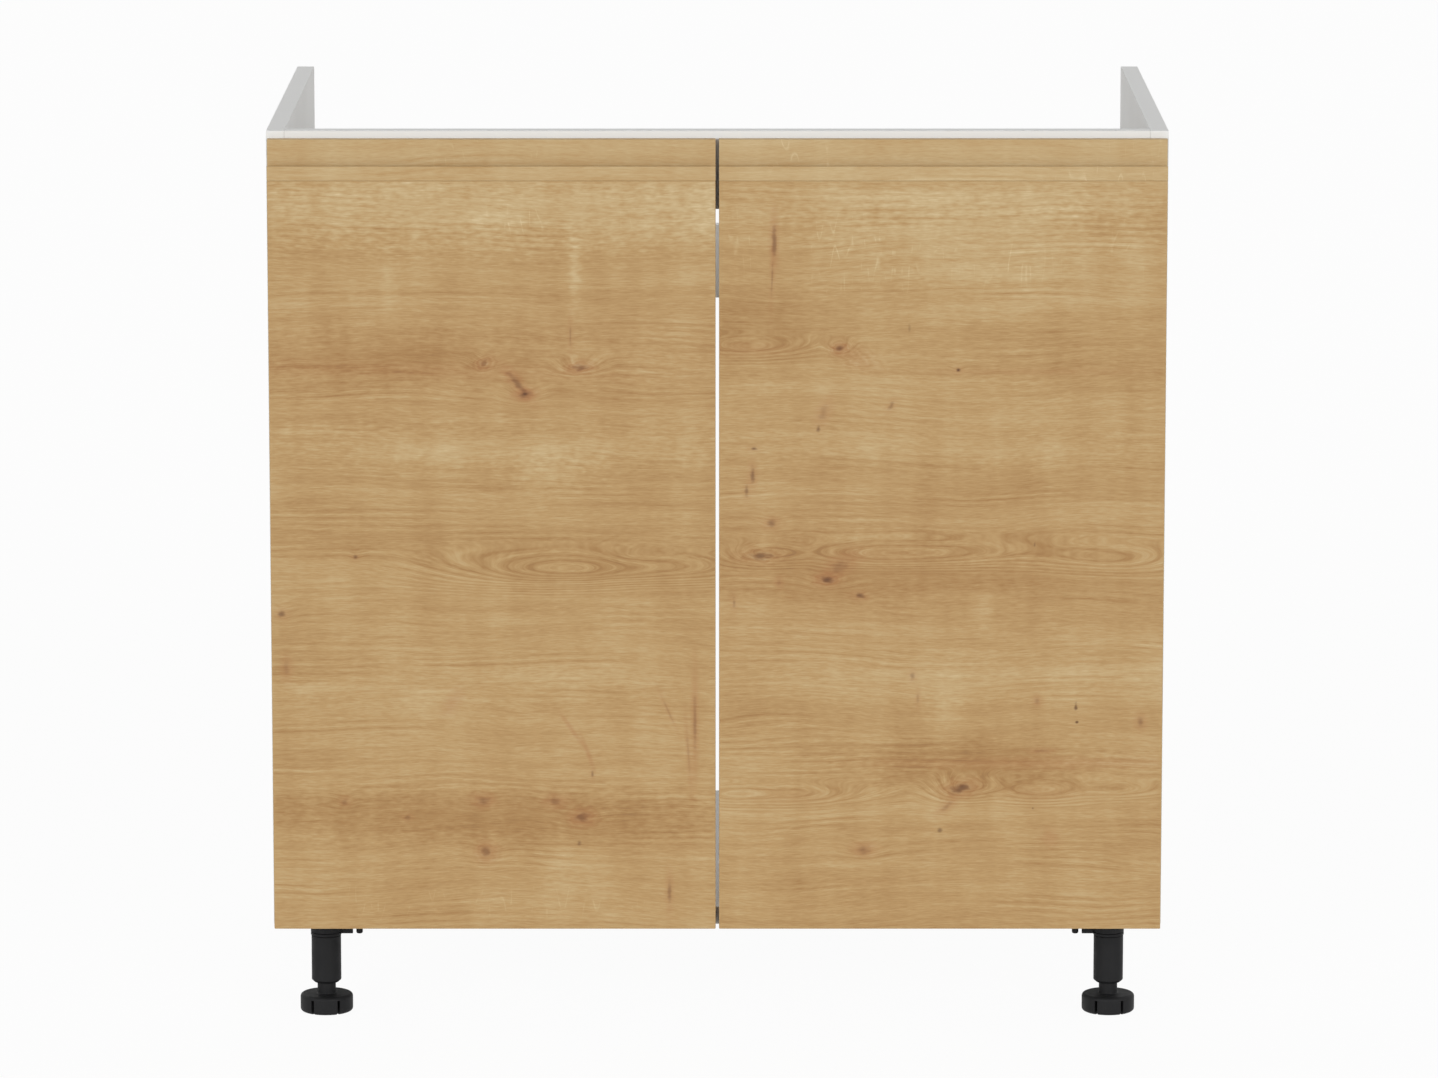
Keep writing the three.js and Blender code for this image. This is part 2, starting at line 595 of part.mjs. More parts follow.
/** Plate screwed to the side panel, with the block that the arm sits astride. */
function mountingPlate() {
  const baseTop = BOARD + PLATE_BASE;
  const around = (length) => [PLATE_SETBACK - length / 2, PLATE_SETBACK + length / 2];
  return fuse(
    block(
      [BOARD + BUTT_GAP, baseTop],
      around(PLATE_BASE_LENGTH),
      [-PLATE_BASE_HALF_HEIGHT, PLATE_BASE_HALF_HEIGHT],
    ),
    block(
      [BOARD + BUTT_GAP, baseTop + PLATE_BLOCK_HEIGHT],
      around(PLATE_BLOCK_LENGTH),
      [-PLATE_BLOCK_OUT, PLATE_BLOCK_OUT],
    ),
  );
}

function hinge(name, height) {
  const group = new THREE.Group();
  group.position.z = height;
  group.add(mesh(name + "_cup", hingeCup(), NICKEL_PLATE));
  group.add(mesh(name + "_inner_link", innerLink(), NICKEL_PLATE));
  group.add(mesh(name + "_outer_link", outerLink(), NICKEL_PLATE));
  group.add(mesh(name + "_arm", hingeArm(), NICKEL_PLATE));
  group.add(mesh(name + "_mounting_plate", mountingPlate(), ZINC_CASTING));
  return group;
}

// ---------- Legs, drawn about their own axis, from the floor up ----------

/** Plate under the bottom panel with the sleeve, ribs and screw boss that hang from it. */
function legSocket() {
  const top = STANDING_HEIGHT - BUTT_GAP;
  const plateBottom = STANDING_HEIGHT - SOCKET_PLATE;
  const lowest = STANDING_HEIGHT - SOCKET_LENGTH;
  const ribBottom = lowest + SOCKET_RIB_SETBACK;
  const corner = SOCKET_PLATE_CORNER;
  const right = SOCKET_PLATE_INNER - corner;
  const left = -SOCKET_PLATE_OUTER + corner;
  const deep = SOCKET_PLATE_HALF_DEPTH - corner;
  const plate = slab(
    [
      ...arc([right, deep], corner, 0, 1),
      ...arc([left, deep], corner, 1, 2),
      ...arc([left, -deep], corner, 2, 3),
      ...arc([right, -deep], corner, 3, 4),
    ],
    [plateBottom, top],
  );
  const thin = SOCKET_RIB_THICKNESS / 2;
  const inPlate = plateBottom + OVERSHOOT;
  const shortHeights = [plateBottom - SOCKET_SHORT_RIB_LENGTH, inPlate];
  const body = fuse(
    plate,
    rodZ(SOCKET_RADIUS, [lowest, top], [0, 0], ROUND_SIDES),
    block([0, SOCKET_LONG_RIB_REACH], [-thin, thin], [ribBottom, inPlate]),
    block([-thin, thin], [-SOCKET_SHORT_RIB_REACH, SOCKET_SHORT_RIB_REACH], shortHeights),
    rodZ(SOCKET_BOSS_RADIUS, [ribBottom, inPlate], [SOCKET_BOSS_OFFSET, 0]),
  );
  const bore = [lowest - OVERSHOOT, plateBottom];
  return cut(body, rodZ(LEG_SPIGOT_RADIUS + CLEARANCE, bore, [0, 0], ROUND_SIDES));
}

function legTube() {
  const shoulder = STANDING_HEIGHT - SOCKET_LENGTH - CLEARANCE;
  const spigotTop = STANDING_HEIGHT - SOCKET_PLATE - CLEARANCE;
  const boreRadius = FOOT_SPINDLE_RADIUS + CLEARANCE;
  const boreTop = FOOT_SPINDLE_TOP + FOOT_RETRACTION + 2 * CLEARANCE;
  return turned([
    [0, boreTop],
    [boreRadius, boreTop],
    [boreRadius, LEG_TUBE_BOTTOM],
    [LEG_TUBE_RADIUS - LEG_TUBE_CHAMFER, LEG_TUBE_BOTTOM],
    [LEG_TUBE_RADIUS, LEG_TUBE_BOTTOM + LEG_TUBE_CHAMFER],
    [LEG_TUBE_RADIUS, shoulder],
    [LEG_SPIGOT_RADIUS, shoulder],
    [LEG_SPIGOT_RADIUS, spigotTop],
    [0, spigotTop],
  ]);
}

/** Adjusting foot: a slotted disc on a threaded spindle. */
function foot() {
  const rim = FOOT_RADIUS - FOOT_ROUND;
  const disc = turned([
    [0, 0],
    ...arc([rim, FOOT_ROUND], FOOT_ROUND, 3, 4),
    ...arc([rim, FOOT_HEIGHT - FOOT_ROUND], FOOT_ROUND, 0, 1),
    [FOOT_SPINDLE_RADIUS, FOOT_HEIGHT],
    [FOOT_SPINDLE_RADIUS, FOOT_SPINDLE_TOP],
    [0, FOOT_SPINDLE_TOP],
  ]);
  const across = [-FOOT_SLOT_WIDTH / 2, FOOT_SLOT_WIDTH / 2];
  const inwards = [FOOT_RADIUS - FOOT_SLOT_DEPTH, FOOT_RADIUS + OVERSHOOT];
  const slots = Array.from({ length: FOOT_SLOTS }, (_, i) =>
    block(inwards, across, [-OVERSHOOT, FOOT_SLOT_TOP]).rotateZ((2 * Math.PI * i) / FOOT_SLOTS),
  );
  return cut(disc, ...slots);
}

function leg(name, setback) {
  const group = new THREE.Group();
  group.position.set(LEG_SIDE_INSET, setback, 0);
  group.add(mesh(name + "_socket", legSocket(), BLACK_PLASTIC));
  group.add(mesh(name + "_tube", legTube(), BLACK_PLASTIC));
  group.add(mesh(name + "_foot", foot(), BLACK_PLASTIC));
  return group;
}

// ---------- Assembly ----------

/** One half of the cabinet, drawn inwards from the outer face of its side. */
function half(side) {
  const group = new THREE.Group();
  group.add(mesh(side + "_side_panel", sidePanel(), WHITE_MELAMINE));
  group.add(mesh(side + "_door_board", doorBoard(), OAK_LAMINATE));
  group.add(mesh(side + "_grip_profile", gripProfile(), OAK_LAMINATE));
  group.add(mesh(side + "_door_bumper", bumper(), CLEAR_PLASTIC));
  for (const [level, height] of Object.entries(HINGE_HEIGHTS)) {
    group.add(hinge(side + "_" + level + "_hinge", height));
  }
  for (const [place, at] of Object.entries(FITTINGS)) {
    group.add(fitting(side + "_" + place, at));
  }
  for (const [end, setback] of Object.entries(LEG_PLACES)) {
    group.add(leg(side + "_" + end + "_leg", setback));
  }
  return group;
}

const leftHalf = half("left");
leftHalf.position.x = -HALF_WIDTH;
const rightHalf = half("right");
rightHalf.position.x = HALF_WIDTH;
rightHalf.scale.x = -1;

const cabinet = new THREE.Group();
cabinet.add(mesh("bottom_panel", bottomPanel(), WHITE_MELAMINE));
cabinet.add(mesh("front_rail", frontRail(), WHITE_MELAMINE));
cabinet.add(mesh("rear_rail", rearRail(), WHITE_MELAMINE));
cabinet.add(leftHalf, rightHalf);
cabinet.position.y = -(DOOR_FRONT + CARCASS_DEPTH) / 2; // origin under the middle of the whole depth

export default cabinet;
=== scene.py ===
"""Sink base cabinet: its finished surfaces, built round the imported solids.

Drawings are in millimetres and become metres when a mesh is made. +Z is up, the doors face -Y and the floor
is z = 0. A half-cabinet drawing counts x inwards from the outer face of its side panel and y backwards from
the front edge of the carcass, and serves both halves.
"""

import logging
import math
from collections.abc import Sequence
from dataclasses import dataclass, field
from enum import Enum, auto
from typing import ClassVar

import bmesh
import bpy
import numpy as np
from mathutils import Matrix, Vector
from mathutils.geometry import tessellate_polygon


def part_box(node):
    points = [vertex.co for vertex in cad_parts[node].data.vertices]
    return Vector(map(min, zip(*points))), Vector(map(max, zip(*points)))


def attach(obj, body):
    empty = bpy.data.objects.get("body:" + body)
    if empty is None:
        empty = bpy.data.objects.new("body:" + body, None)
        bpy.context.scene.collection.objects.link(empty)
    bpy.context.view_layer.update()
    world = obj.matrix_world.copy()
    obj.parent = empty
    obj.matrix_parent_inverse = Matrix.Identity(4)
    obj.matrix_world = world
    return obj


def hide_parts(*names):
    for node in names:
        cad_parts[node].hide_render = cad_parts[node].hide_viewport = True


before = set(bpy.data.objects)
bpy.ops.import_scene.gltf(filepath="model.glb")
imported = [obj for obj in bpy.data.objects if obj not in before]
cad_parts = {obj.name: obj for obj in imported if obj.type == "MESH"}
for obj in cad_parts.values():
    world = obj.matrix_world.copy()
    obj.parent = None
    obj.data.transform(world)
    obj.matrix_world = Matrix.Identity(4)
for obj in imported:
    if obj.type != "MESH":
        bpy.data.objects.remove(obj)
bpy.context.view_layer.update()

LOG = logging.getLogger("cabinet")
MM = 0.001
WELD = 1e-6  # metres between points that are one
GAP = 0.02  # between parts that are glued or screwed together
HALF_WIDTH = 400.0
CARCASS_FRONT = -245.0  # front edge of the carcass in the frame
CUP_INSET = 24.0  # from the outer face of a side panel to the middle of a hinge cup
CAM_INSET = 50.0  # from the same face to the middle of a cam
GLUE_WIDTH = 0.15

Pair = Sequence[float]
Material = bpy.types.Material
Tree = bpy.types.NodeTree
Node = bpy.types.Node
Source = bpy.types.Node | bpy.types.NodeSocket | float


class Word(Enum):
    """Choice whose name, in lower case, is a word in the names of nodes."""

    def __str__(self) -> str:
        """The word."""
        return self.name.lower()


class Side(Word):
    """Half of the cabinet, with the sign of its x in the frame."""

    LEFT = -1
    RIGHT = 1


class Level(Word):
    """Height of a hinge on its door."""

    UPPER = auto()
    LOWER = auto()


class End(Word):
    """Row of legs."""

    FRONT = auto()
    REAR = auto()


class Along(Enum):
    """Axis that a flat drawing is raised along, as the order of its (u, v, height) columns in (x, y, z)."""

    X = (2, 0, 1)
    Y = (0, 2, 1)
    Z = (0, 1, 2)

    @property
    def axis(self) -> int:
        """Number of the axis."""
        return self.value.index(2)

    @property
    def plan(self) -> list[int]:
        """Numbers of the other two."""
        return [i for i in range(3) if i != self.axis]


# Axis of each pair of cams, and whether their faces look down it (0) or up it (1)
CAMS = {
    "bottom_front": (Along.Z, 0),
    "bottom_rear": (Along.Z, 0),
    "front_rail": (Along.Y, 1),
    "rear_rail": (Along.Y, 1),
}


# ---------- Drawing ----------


def box_mm(node: str) -> np.ndarray:
    """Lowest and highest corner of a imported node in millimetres, as a (2, 3) array."""
    return np.array([list(corner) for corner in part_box(node)]) / MM


def arc(centre: Pair, radius: float, start: float, stop: float, steps: int = 6) -> np.ndarray:
    """Points on a circle between two angles.

    Args:
        centre: Middle of the circle.
        radius: Its radius.
        start: First angle in degrees.
        stop: Last angle in degrees.
        steps: Number of chords.

    Returns:
        Array of steps + 1 points, centre + radius (cos a, sin a).
    """
    angle = np.radians(np.linspace(start, stop, steps + 1))
    return np.asarray(centre) + radius * np.stack([np.cos(angle), np.sin(angle)], axis=1)


def circle(centre: Pair, radius: float, steps: int = 64) -> np.ndarray:
    """Closed outline of a circle, anticlockwise."""
    return arc(centre, radius, 0, 360, steps)[:-1]


def rounded_rectangle(low: Pair, high: Pair, radius: float, steps: int = 4) -> np.ndarray:
    """Closed anticlockwise outline of a rectangle with a quarter circle at each corner.

    Args:
        low: Its lowest corner.
        high: Its highest corner.
        radius: Radius at the corners.
        steps: Chords to a corner.

    Returns:
        Array of points.
    """
    (x0, y0), (x1, y1) = np.asarray(low) + radius, np.asarray(high) - radius
    corners = enumerate([(x1, y1), (x0, y1), (x0, y0), (x1, y0)])
    return np.concatenate([arc(corner, radius, 90 * i, 90 * i + 90, steps) for i, corner in corners])


def inset(outline: np.ndarray, distance: float) -> np.ndarray:
    """Outline moved inwards: each point goes along the mitre of its two edges' normals.

    Args:
        outline: Closed anticlockwise outline.
        distance: How far each edge moves.

    Returns:
        Outline with as many points.
    """
    edge = np.roll(outline, -1, axis=0) - outline
    edge = edge / np.linalg.norm(edge, axis=1, keepdims=True)
    inward = np.stack([-edge[:, 1], edge[:, 0]], axis=1)
    before = np.roll(inward, 1, axis=0)
    mitre = (inward + before) / (1 + np.sum(inward * before, axis=1, keepdims=True))
    return outline + distance * mitre


def eased(low: float, high: float, radius: float, steps: int = 3) -> list[tuple[float, float]]:
    """Levels of a raised drawing whose two rims are quarter circles.

    Args:
        low: Height of the lower face.
        high: Height of the upper face.
        radius: Radius of the rims.
        steps: Chords to a rim.

    Returns:
        Height and inset of each ring: radius (1 - cos a) in from a face, and radius (1 - sin a).
    """
    turn = np.linspace(0, math.pi / 2, steps + 1)
    rise, draw = radius * (1 - np.cos(turn)), radius * (1 - np.sin(turn))
    return [*zip(low + rise, draw), *zip((high - rise)[::-1], draw[::-1])]


def raised(flat: np.ndarray, height: float, along: Along) -> np.ndarray:
    """Puts (u, v) points at a height along an axis."""
    return np.column_stack([flat, np.full(len(flat), height)])[:, list(along.value)]


def cam_centre(side: Side, name: str) -> np.ndarray:
    """Middle of a cam in its drawing."""
    height = box_mm(f"{side}_{name}_cam").mean(axis=0)[CAMS[name][0].plan[1]]
    return np.array([side.value * (HALF_WIDTH - CAM_INSET), height])


@dataclass
class Opening:
    """Hole in a raised drawing: outlines by height, from the face that it opens on."""

    rings: list[tuple[float, np.ndarray]]

    @classmethod
    def bore(cls, centre: Pair, radius: float, heights: Pair, steps: int = 48) -> "Opening":
        """Round hole."""
        return cls([(height, circle(centre, radius, steps)) for height in heights])

    @classmethod
    def cross(cls, centre: Pair, reach: float, width: float, heights: Pair) -> "Opening":
        """Recess for a cross-point driver, drawn in slightly at its floor.

        Args:
            centre: Middle of the cross.
            reach: From there to the end of an arm.
            width: Width of an arm.
            heights: Height of the face and of the floor.

        Returns:
            The opening.
        """
        a, b = reach, width / 2
        half = np.array([(a, -b), (a, b), (b, b), (b, a), (-b, a), (-b, b)])
        outline = np.concatenate([half, -half])
        return cls([(height, centre + outline * share) for height, share in zip(heights, (1, 0.7))])


@dataclass
class Skin:
    """Closed surface gathered from grids and caps, which are welded where they meet."""

    points: list[np.ndarray] = field(default_factory=list)
    faces: list[tuple[int, ...]] = field(default_factory=list)
    finishes: list[int] = field(default_factory=list)
    count: int = 0

    def patch(self, points: np.ndarray, faces: Sequence[Sequence[int]], finish: int = 0) -> None:
        """Adds points and the faces between them.

        Args:
            points: Array of (x, y, z).
            faces: Each face by its points' places in that array.
            finish: Number of their finish.
        """
        self.faces += [tuple(int(i) + self.count for i in face) for face in faces]
        self.finishes += [finish] * len(faces)
        self.points.append(np.asarray(points, dtype=float))
        self.count += len(points)

    def grid(self, rows: Sequence[np.ndarray], finish: int = 0) -> None:
        """Adds quads between rings of points, each closed round itself.

        Args:
            rows: Rings with as many points each.
            finish: Number of the quads' finish.
        """
        m, n = len(rows), len(rows[0])
        row, column = np.arange(m - 1)[:, None] * n, np.arange(n)[None, :]
        here, beside = row + column, row + (column + 1) % n
        quads = np.stack([here, beside, beside + n, here + n], axis=-1).reshape(-1, 4)
        self.patch(np.concatenate(rows), quads, finish)

    def cap(self, outline: np.ndarray, height: float, along: Along, holes: Sequence[np.ndarray] = ()) -> None:
        """Closes an outline at a height with one face, or with triangles round its holes.

        Args:
            outline: Closed outline.
            height: Height of the face.
            along: Axis of the height.
            holes: Outlines to leave open.
        """
        loops = [outline, *holes]
        faces = [range(len(outline))]
        if holes:
            faces = tessellate_polygon([[Vector((u, v, 0)) for u, v in loop] for loop in loops])
        self.patch(raised(np.concatenate(loops), height, along), faces)

    def plate(
        self,
        outline: np.ndarray,
        levels: Sequence[tuple[float, float]],
        along: Along = Along.Z,
        openings: Sequence[Opening] = (),
        side_finish: int = 0,
        glue_finish: int | None = None,
    ) -> None:
        """Raises an outline through levels, with faces at both ends and openings in them.

        Args:
            outline: Closed anticlockwise outline.
            levels: Height and inset of each ring, from the low face to the high one.
            along: Axis of the height.
            openings: Blind or through holes. One that ends on neither face gets a floor.
            side_finish: Finish of the ring of sides. The faces have finish 0.
            glue_finish: Finish of a fine line round both faces, where an edge band meets them.
        """
        rings = [(height, inset(outline, draw)) for height, draw in levels]
        self.grid([raised(ring, height, along) for height, ring in rings], side_finish)
        for height, ring in (rings[0], rings[-1]):
            if glue_finish is not None:
                inner = inset(ring, GLUE_WIDTH)
                self.grid([raised(ring, height, along), raised(inner, height, along)], glue_finish)
                ring = inner
            holes = [o.rings[i][1] for i in (0, -1) for o in openings if math.isclose(o.rings[i][0], height)]
            self.cap(ring, height, along, holes)
        for opening in openings:
            self.grid([raised(ring, height, along) for height, ring in opening.rings])
            height, floor = opening.rings[-1]
            if all(not math.isclose(height, face) for face in (levels[0][0], levels[-1][0])):
                self.cap(floor, height, along)

    def turned(
        self, profile: np.ndarray, centre: Pair, along: Along = Along.Z, closed: bool = False, steps: int = 96
    ) -> None:
        """Turns a profile about an axis: the surface is (r(s) cos a, r(s) sin a, h(s)).

        Args:
            profile: Pairs of radius r and height h.
            centre: Where the axis stands in the drawing.
            along: Direction of the axis.
            closed: Whether the ends are joined. If not, discs close them.
            steps: Number of columns.
        """
        loop = [*profile, profile[0]] if closed else profile
        rings = [(height, circle(centre, radius, steps)) for radius, height in loop]
        self.grid([raised(ring, height, along) for height, ring in rings])
        if not closed:
            for height, ring in (rings[0], rings[-1]):
                self.cap(ring, height, along)

    def in_half(self, side: Side, move: Sequence[float]) -> "Skin":
        """The same surface, put from a half-cabinet drawing into the frame.

        Args:
            side: Half that it belongs to.
            move: Its place in the drawing.

        Returns:
            Skin with x = sign (half width - x) and y = y + front of the carcass.
        """
        x, y, z = (np.concatenate(self.points) + move).T
        points = np.column_stack([side.value * (HALF_WIDTH - x), y + CARCASS_FRONT, z])
        return Skin([points], self.faces, self.finishes, self.count)


# ---------- Finishes ----------


def linear(code: str) -> tuple[float, float, float, float]:
    """Linear colour of an sRGB hex code.

    Args:
        code: Code such as #ffffff.

    Returns:
        Red, green, blue and full alpha.
    """
    parts = np.array([int(code[i : i + 2], 16) / 255 for i in (1, 3, 5)])
    flat = np.where(parts <= 0.04045, parts / 12.92, ((parts + 0.055) / 1.055) ** 2.4)
    return (*flat.tolist(), 1.0)


def add(tree: Tree, kind: str, inputs: dict | Sequence = (), operation: str = "", **settings: object) -> Node:
    """Adds a shader node.

    Args:
        tree: Node tree of a material or world.
        kind: Type of the node, without its ShaderNode prefix.
        inputs: A value, or a source to link from, for each input in order, or by name or number.
        operation: What a node that has a choice of operations does.
        settings: Other properties of the node.

    Returns:
        The new node. As a source it stands for its first output.
    """
    node = tree.nodes.new("ShaderNode" + kind)
    if operation:
        node.operation = operation
    for name, value in settings.items():
        setattr(node, name, value)
    for name, value in inputs.items() if isinstance(inputs, dict) else enumerate(inputs):
        source = value.outputs[0] if isinstance(value, Node) else value
        if isinstance(source, bpy.types.NodeSocket):
            tree.links.new(source, node.inputs[name])
        else:
            node.inputs[name].default_value = source
    return node


def cleared(owner: Material | bpy.types.World) -> Tree:
    """Empties the node tree of a material or world.

    Args:
        owner: What has the tree.

    Returns:
        The tree.
    """
    owner.use_nodes = True
    owner.node_tree.nodes.clear()
    return owner.node_tree


def figure(tree: Tree, place: Source, size: Sequence[float], detail: float, fall: float = 0.5) -> Node:
    """Noise whose blotches have a real size.

    Args:
        tree: Node tree.
        place: Place in millimetres.
        size: Size of the blotches in millimetres along x, y and z.
        detail: Number of finer layers.
        fall: Strength of each finer layer.

    Returns:
        Noise from 0 to 1, mostly between 0.3 and 0.7.
    """
    scaled = add(tree, "VectorMath", (place, tuple(1 / part for part in size)), "MULTIPLY")
    return add(tree, "TexNoise", {"Vector": scaled, "Scale": 1.0, "Detail": detail, "Roughness": fall})


class Finish:
    """A real material and how its surface was made, with the record's slot that it fills."""

    title: str
    slot: str

    def dress(self, tree: Tree, place: Source) -> Node:
        """Builds the finish's nodes.

        Args:
            tree: Node tree of its material.
            place: Place in millimetres.

        Returns:
            Its shader.
        """
        raise NotImplementedError

    def material(self) -> Material:
        """Makes the finish's material, patterned by Object coordinates, unless it is there.

        Returns:
            The material, named by the finish's title.
        """
        if self.title in bpy.data.materials:
            return bpy.data.materials[self.title]
        made = bpy.data.materials.new(self.title)
        tree = cleared(made)
        metres = add(tree, "TexCoord").outputs["Object"]
        place = add(tree, "VectorMath", {0: metres, "Scale": 1 / MM}, "SCALE")
        shader = self.dress(tree, place)
        add(tree, "OutputMaterial", {"Surface": shader})
        made.diffuse_color = shader.inputs["Base Color"].default_value
        return made


@dataclass(frozen=True)
class EvenFinish(Finish):
    """Finish of one colour, with uneven gloss and a fine relief.

    Attributes:
        title: Name of the material.
        slot: The record's slot; not used.
        colour: sRGB colour.
        gloss: Roughness where the gloss figure is low and where it is high.
        patch: Size of the gloss figure along x, y and z.
        detail: Its number of finer layers.
        spread: Values of the figure between which the gloss changes.
        relief: Size of the relief's grain, or None where the relief is the gloss figure's.
        relief_detail: Its number of finer layers.
        bump: Strength of the relief.
        depth: Depth of the relief in metres.
        shader: Further inputs of the shader.
    """

    title: str
    slot: str
    colour: str
    gloss: tuple[float, float]
    patch: tuple[float, float, float]
    detail: float = 2.0
    spread: tuple[float, float] = (0.3, 0.7)
    relief: float | None = None
    relief_detail: float = 2.0
    bump: float = 0.0
    depth: float = 0.0
    shader: dict[str, float] = field(default_factory=dict)

    def dress(self, tree: Tree, place: Source) -> Node:
        """Spreads the gloss over its figure and lays the relief over it. Args and Returns as in Finish."""
        lines = figure(tree, place, self.patch, self.detail)
        gloss = add(tree, "MapRange", (lines, *self.spread, *self.gloss))
        inputs = {"Base Color": linear(self.colour), "Roughness": gloss, **self.shader}
        if self.bump:
            grain = figure(tree, place, (self.relief,) * 3, self.relief_detail) if self.relief else lines
            bump = {"Height": grain, "Strength": self.bump, "Distance": self.depth}
            inputs["Normal"] = add(tree, "Bump", bump)
        return add(tree, "BsdfPrincipled", inputs)


# White melamine paper, pressed on board: matt satin with a faint orange peel and broad patches of gloss
MELAMINE = EvenFinish(
    "white_melamine_pressed", "white_melamine", "#e6e6e4", (0.46, 0.55), (90, 90, 90),
    relief=1.6, bump=0.12, depth=0.00006, shader={"Specular IOR Level": 0.3},
)
# ABS edge band, extruded and buffed: a touch smoother and whiter than the board, with faint draw lines
BAND = EvenFinish(
    "white_abs_edge_band", "white_melamine", "#e7e7e5", (0.39, 0.49), (60, 0.8, 60),
    shader={"Specular IOR Level": 0.22},
)
# Polypropylene, injection moulded in a spark-eroded tool: black with a soft, fine-grained sheen
PLASTIC = EvenFinish(
    "black_polypropylene_moulded", "black_plastic", "#1d1d1e", (0.52, 0.62), (12, 12, 12),
    relief=0.35, relief_detail=3.0, bump=0.25, depth=0.00004,
    shader={"IOR": 1.49, "Specular IOR Level": 0.17},
)
# Nickel-plated steel, pressed: a warm bright metal with faint draw lines
NICKEL = EvenFinish(
    "nickel_plated_steel_pressed", "nickel_steel", "#c9c7c1", (0.2, 0.34), (8, 0.5, 8),
    detail=3.0, bump=0.08, depth=0.00003, shader={"Metallic": 1.0},
)
# Zinc alloy, die cast and tumbled: a grey satin metal with a fine cast skin
ZINC = EvenFinish(
    "zinc_die_cast", "zinc_casting", "#b1b0ac", (0.36, 0.48), (0.9, 0.9, 0.9),
    detail=3.0, bump=0.15, depth=0.00004, shader={"Metallic": 1.0},
)
# Soft polyurethane, cast as a dome: clear and slightly milky
CLEAR = EvenFinish(
    "clear_polyurethane_cast", "clear_plastic", "#eef0f0", (0.1, 0.25), (2, 2, 2),
    spread=(0, 1), shader={"IOR": 1.48, "Transmission Weight": 0.8},
)


@dataclass(frozen=True)
class GlueLine(Finish):
    """Hot-melt joint between band and board: a hair-fine, slightly dirty line whose darkness wanders."""

    title: str = "edge_band_glue_line"
    slot: str = "white_melamine"
    dirty: str = "#bdbab2"
    clean: str = "#d6d4ce"
    wander: float = 25.0

    def dress(self, tree: Tree, place: Source) -> Node:
        """Mixes two greys by a slow noise. Args and Returns as in Finish."""
        slow = figure(tree, place, (self.wander,) * 3, 3.0)
        colours = {"Factor": slow, "A": linear(self.dirty), "B": linear(self.clean)}
        shade = add(tree, "Mix", colours, data_type="RGBA").outputs["Result"]
        return add(tree, "BsdfPrincipled", {"Base Color": shade, "Roughness": 0.6})


@dataclass(frozen=True)
class Mark:
    """Feature of the printed oak, placed on the front of a door.

    Attributes:
        x: Place in the frame.
        z: Height in the frame.
        length: Half length along the grain.
        width: Half height across it.
        dark: Depth of its brown heart, 0 to 1.
        red: Strength of the reddish stain round it, 0 to 1.
        swell: How far it pushes the grain lines aside.
        tone: How much paler (positive) or darker it makes the wood.
        rings: Strength of the growth rings round it.
        fleck: Strength of the ray flecks in it.
        tilt: Turn in degrees, anticlockwise seen from the front.
    """

    x: float
    z: float
    length: float
    width: float
    dark: float = 0.0
    red: float = 0.0
    swell: float = 0.0
    tone: float = 0.0
    rings: float = 0.0
    fleck: float = 0.0
    tilt: float = 0.0


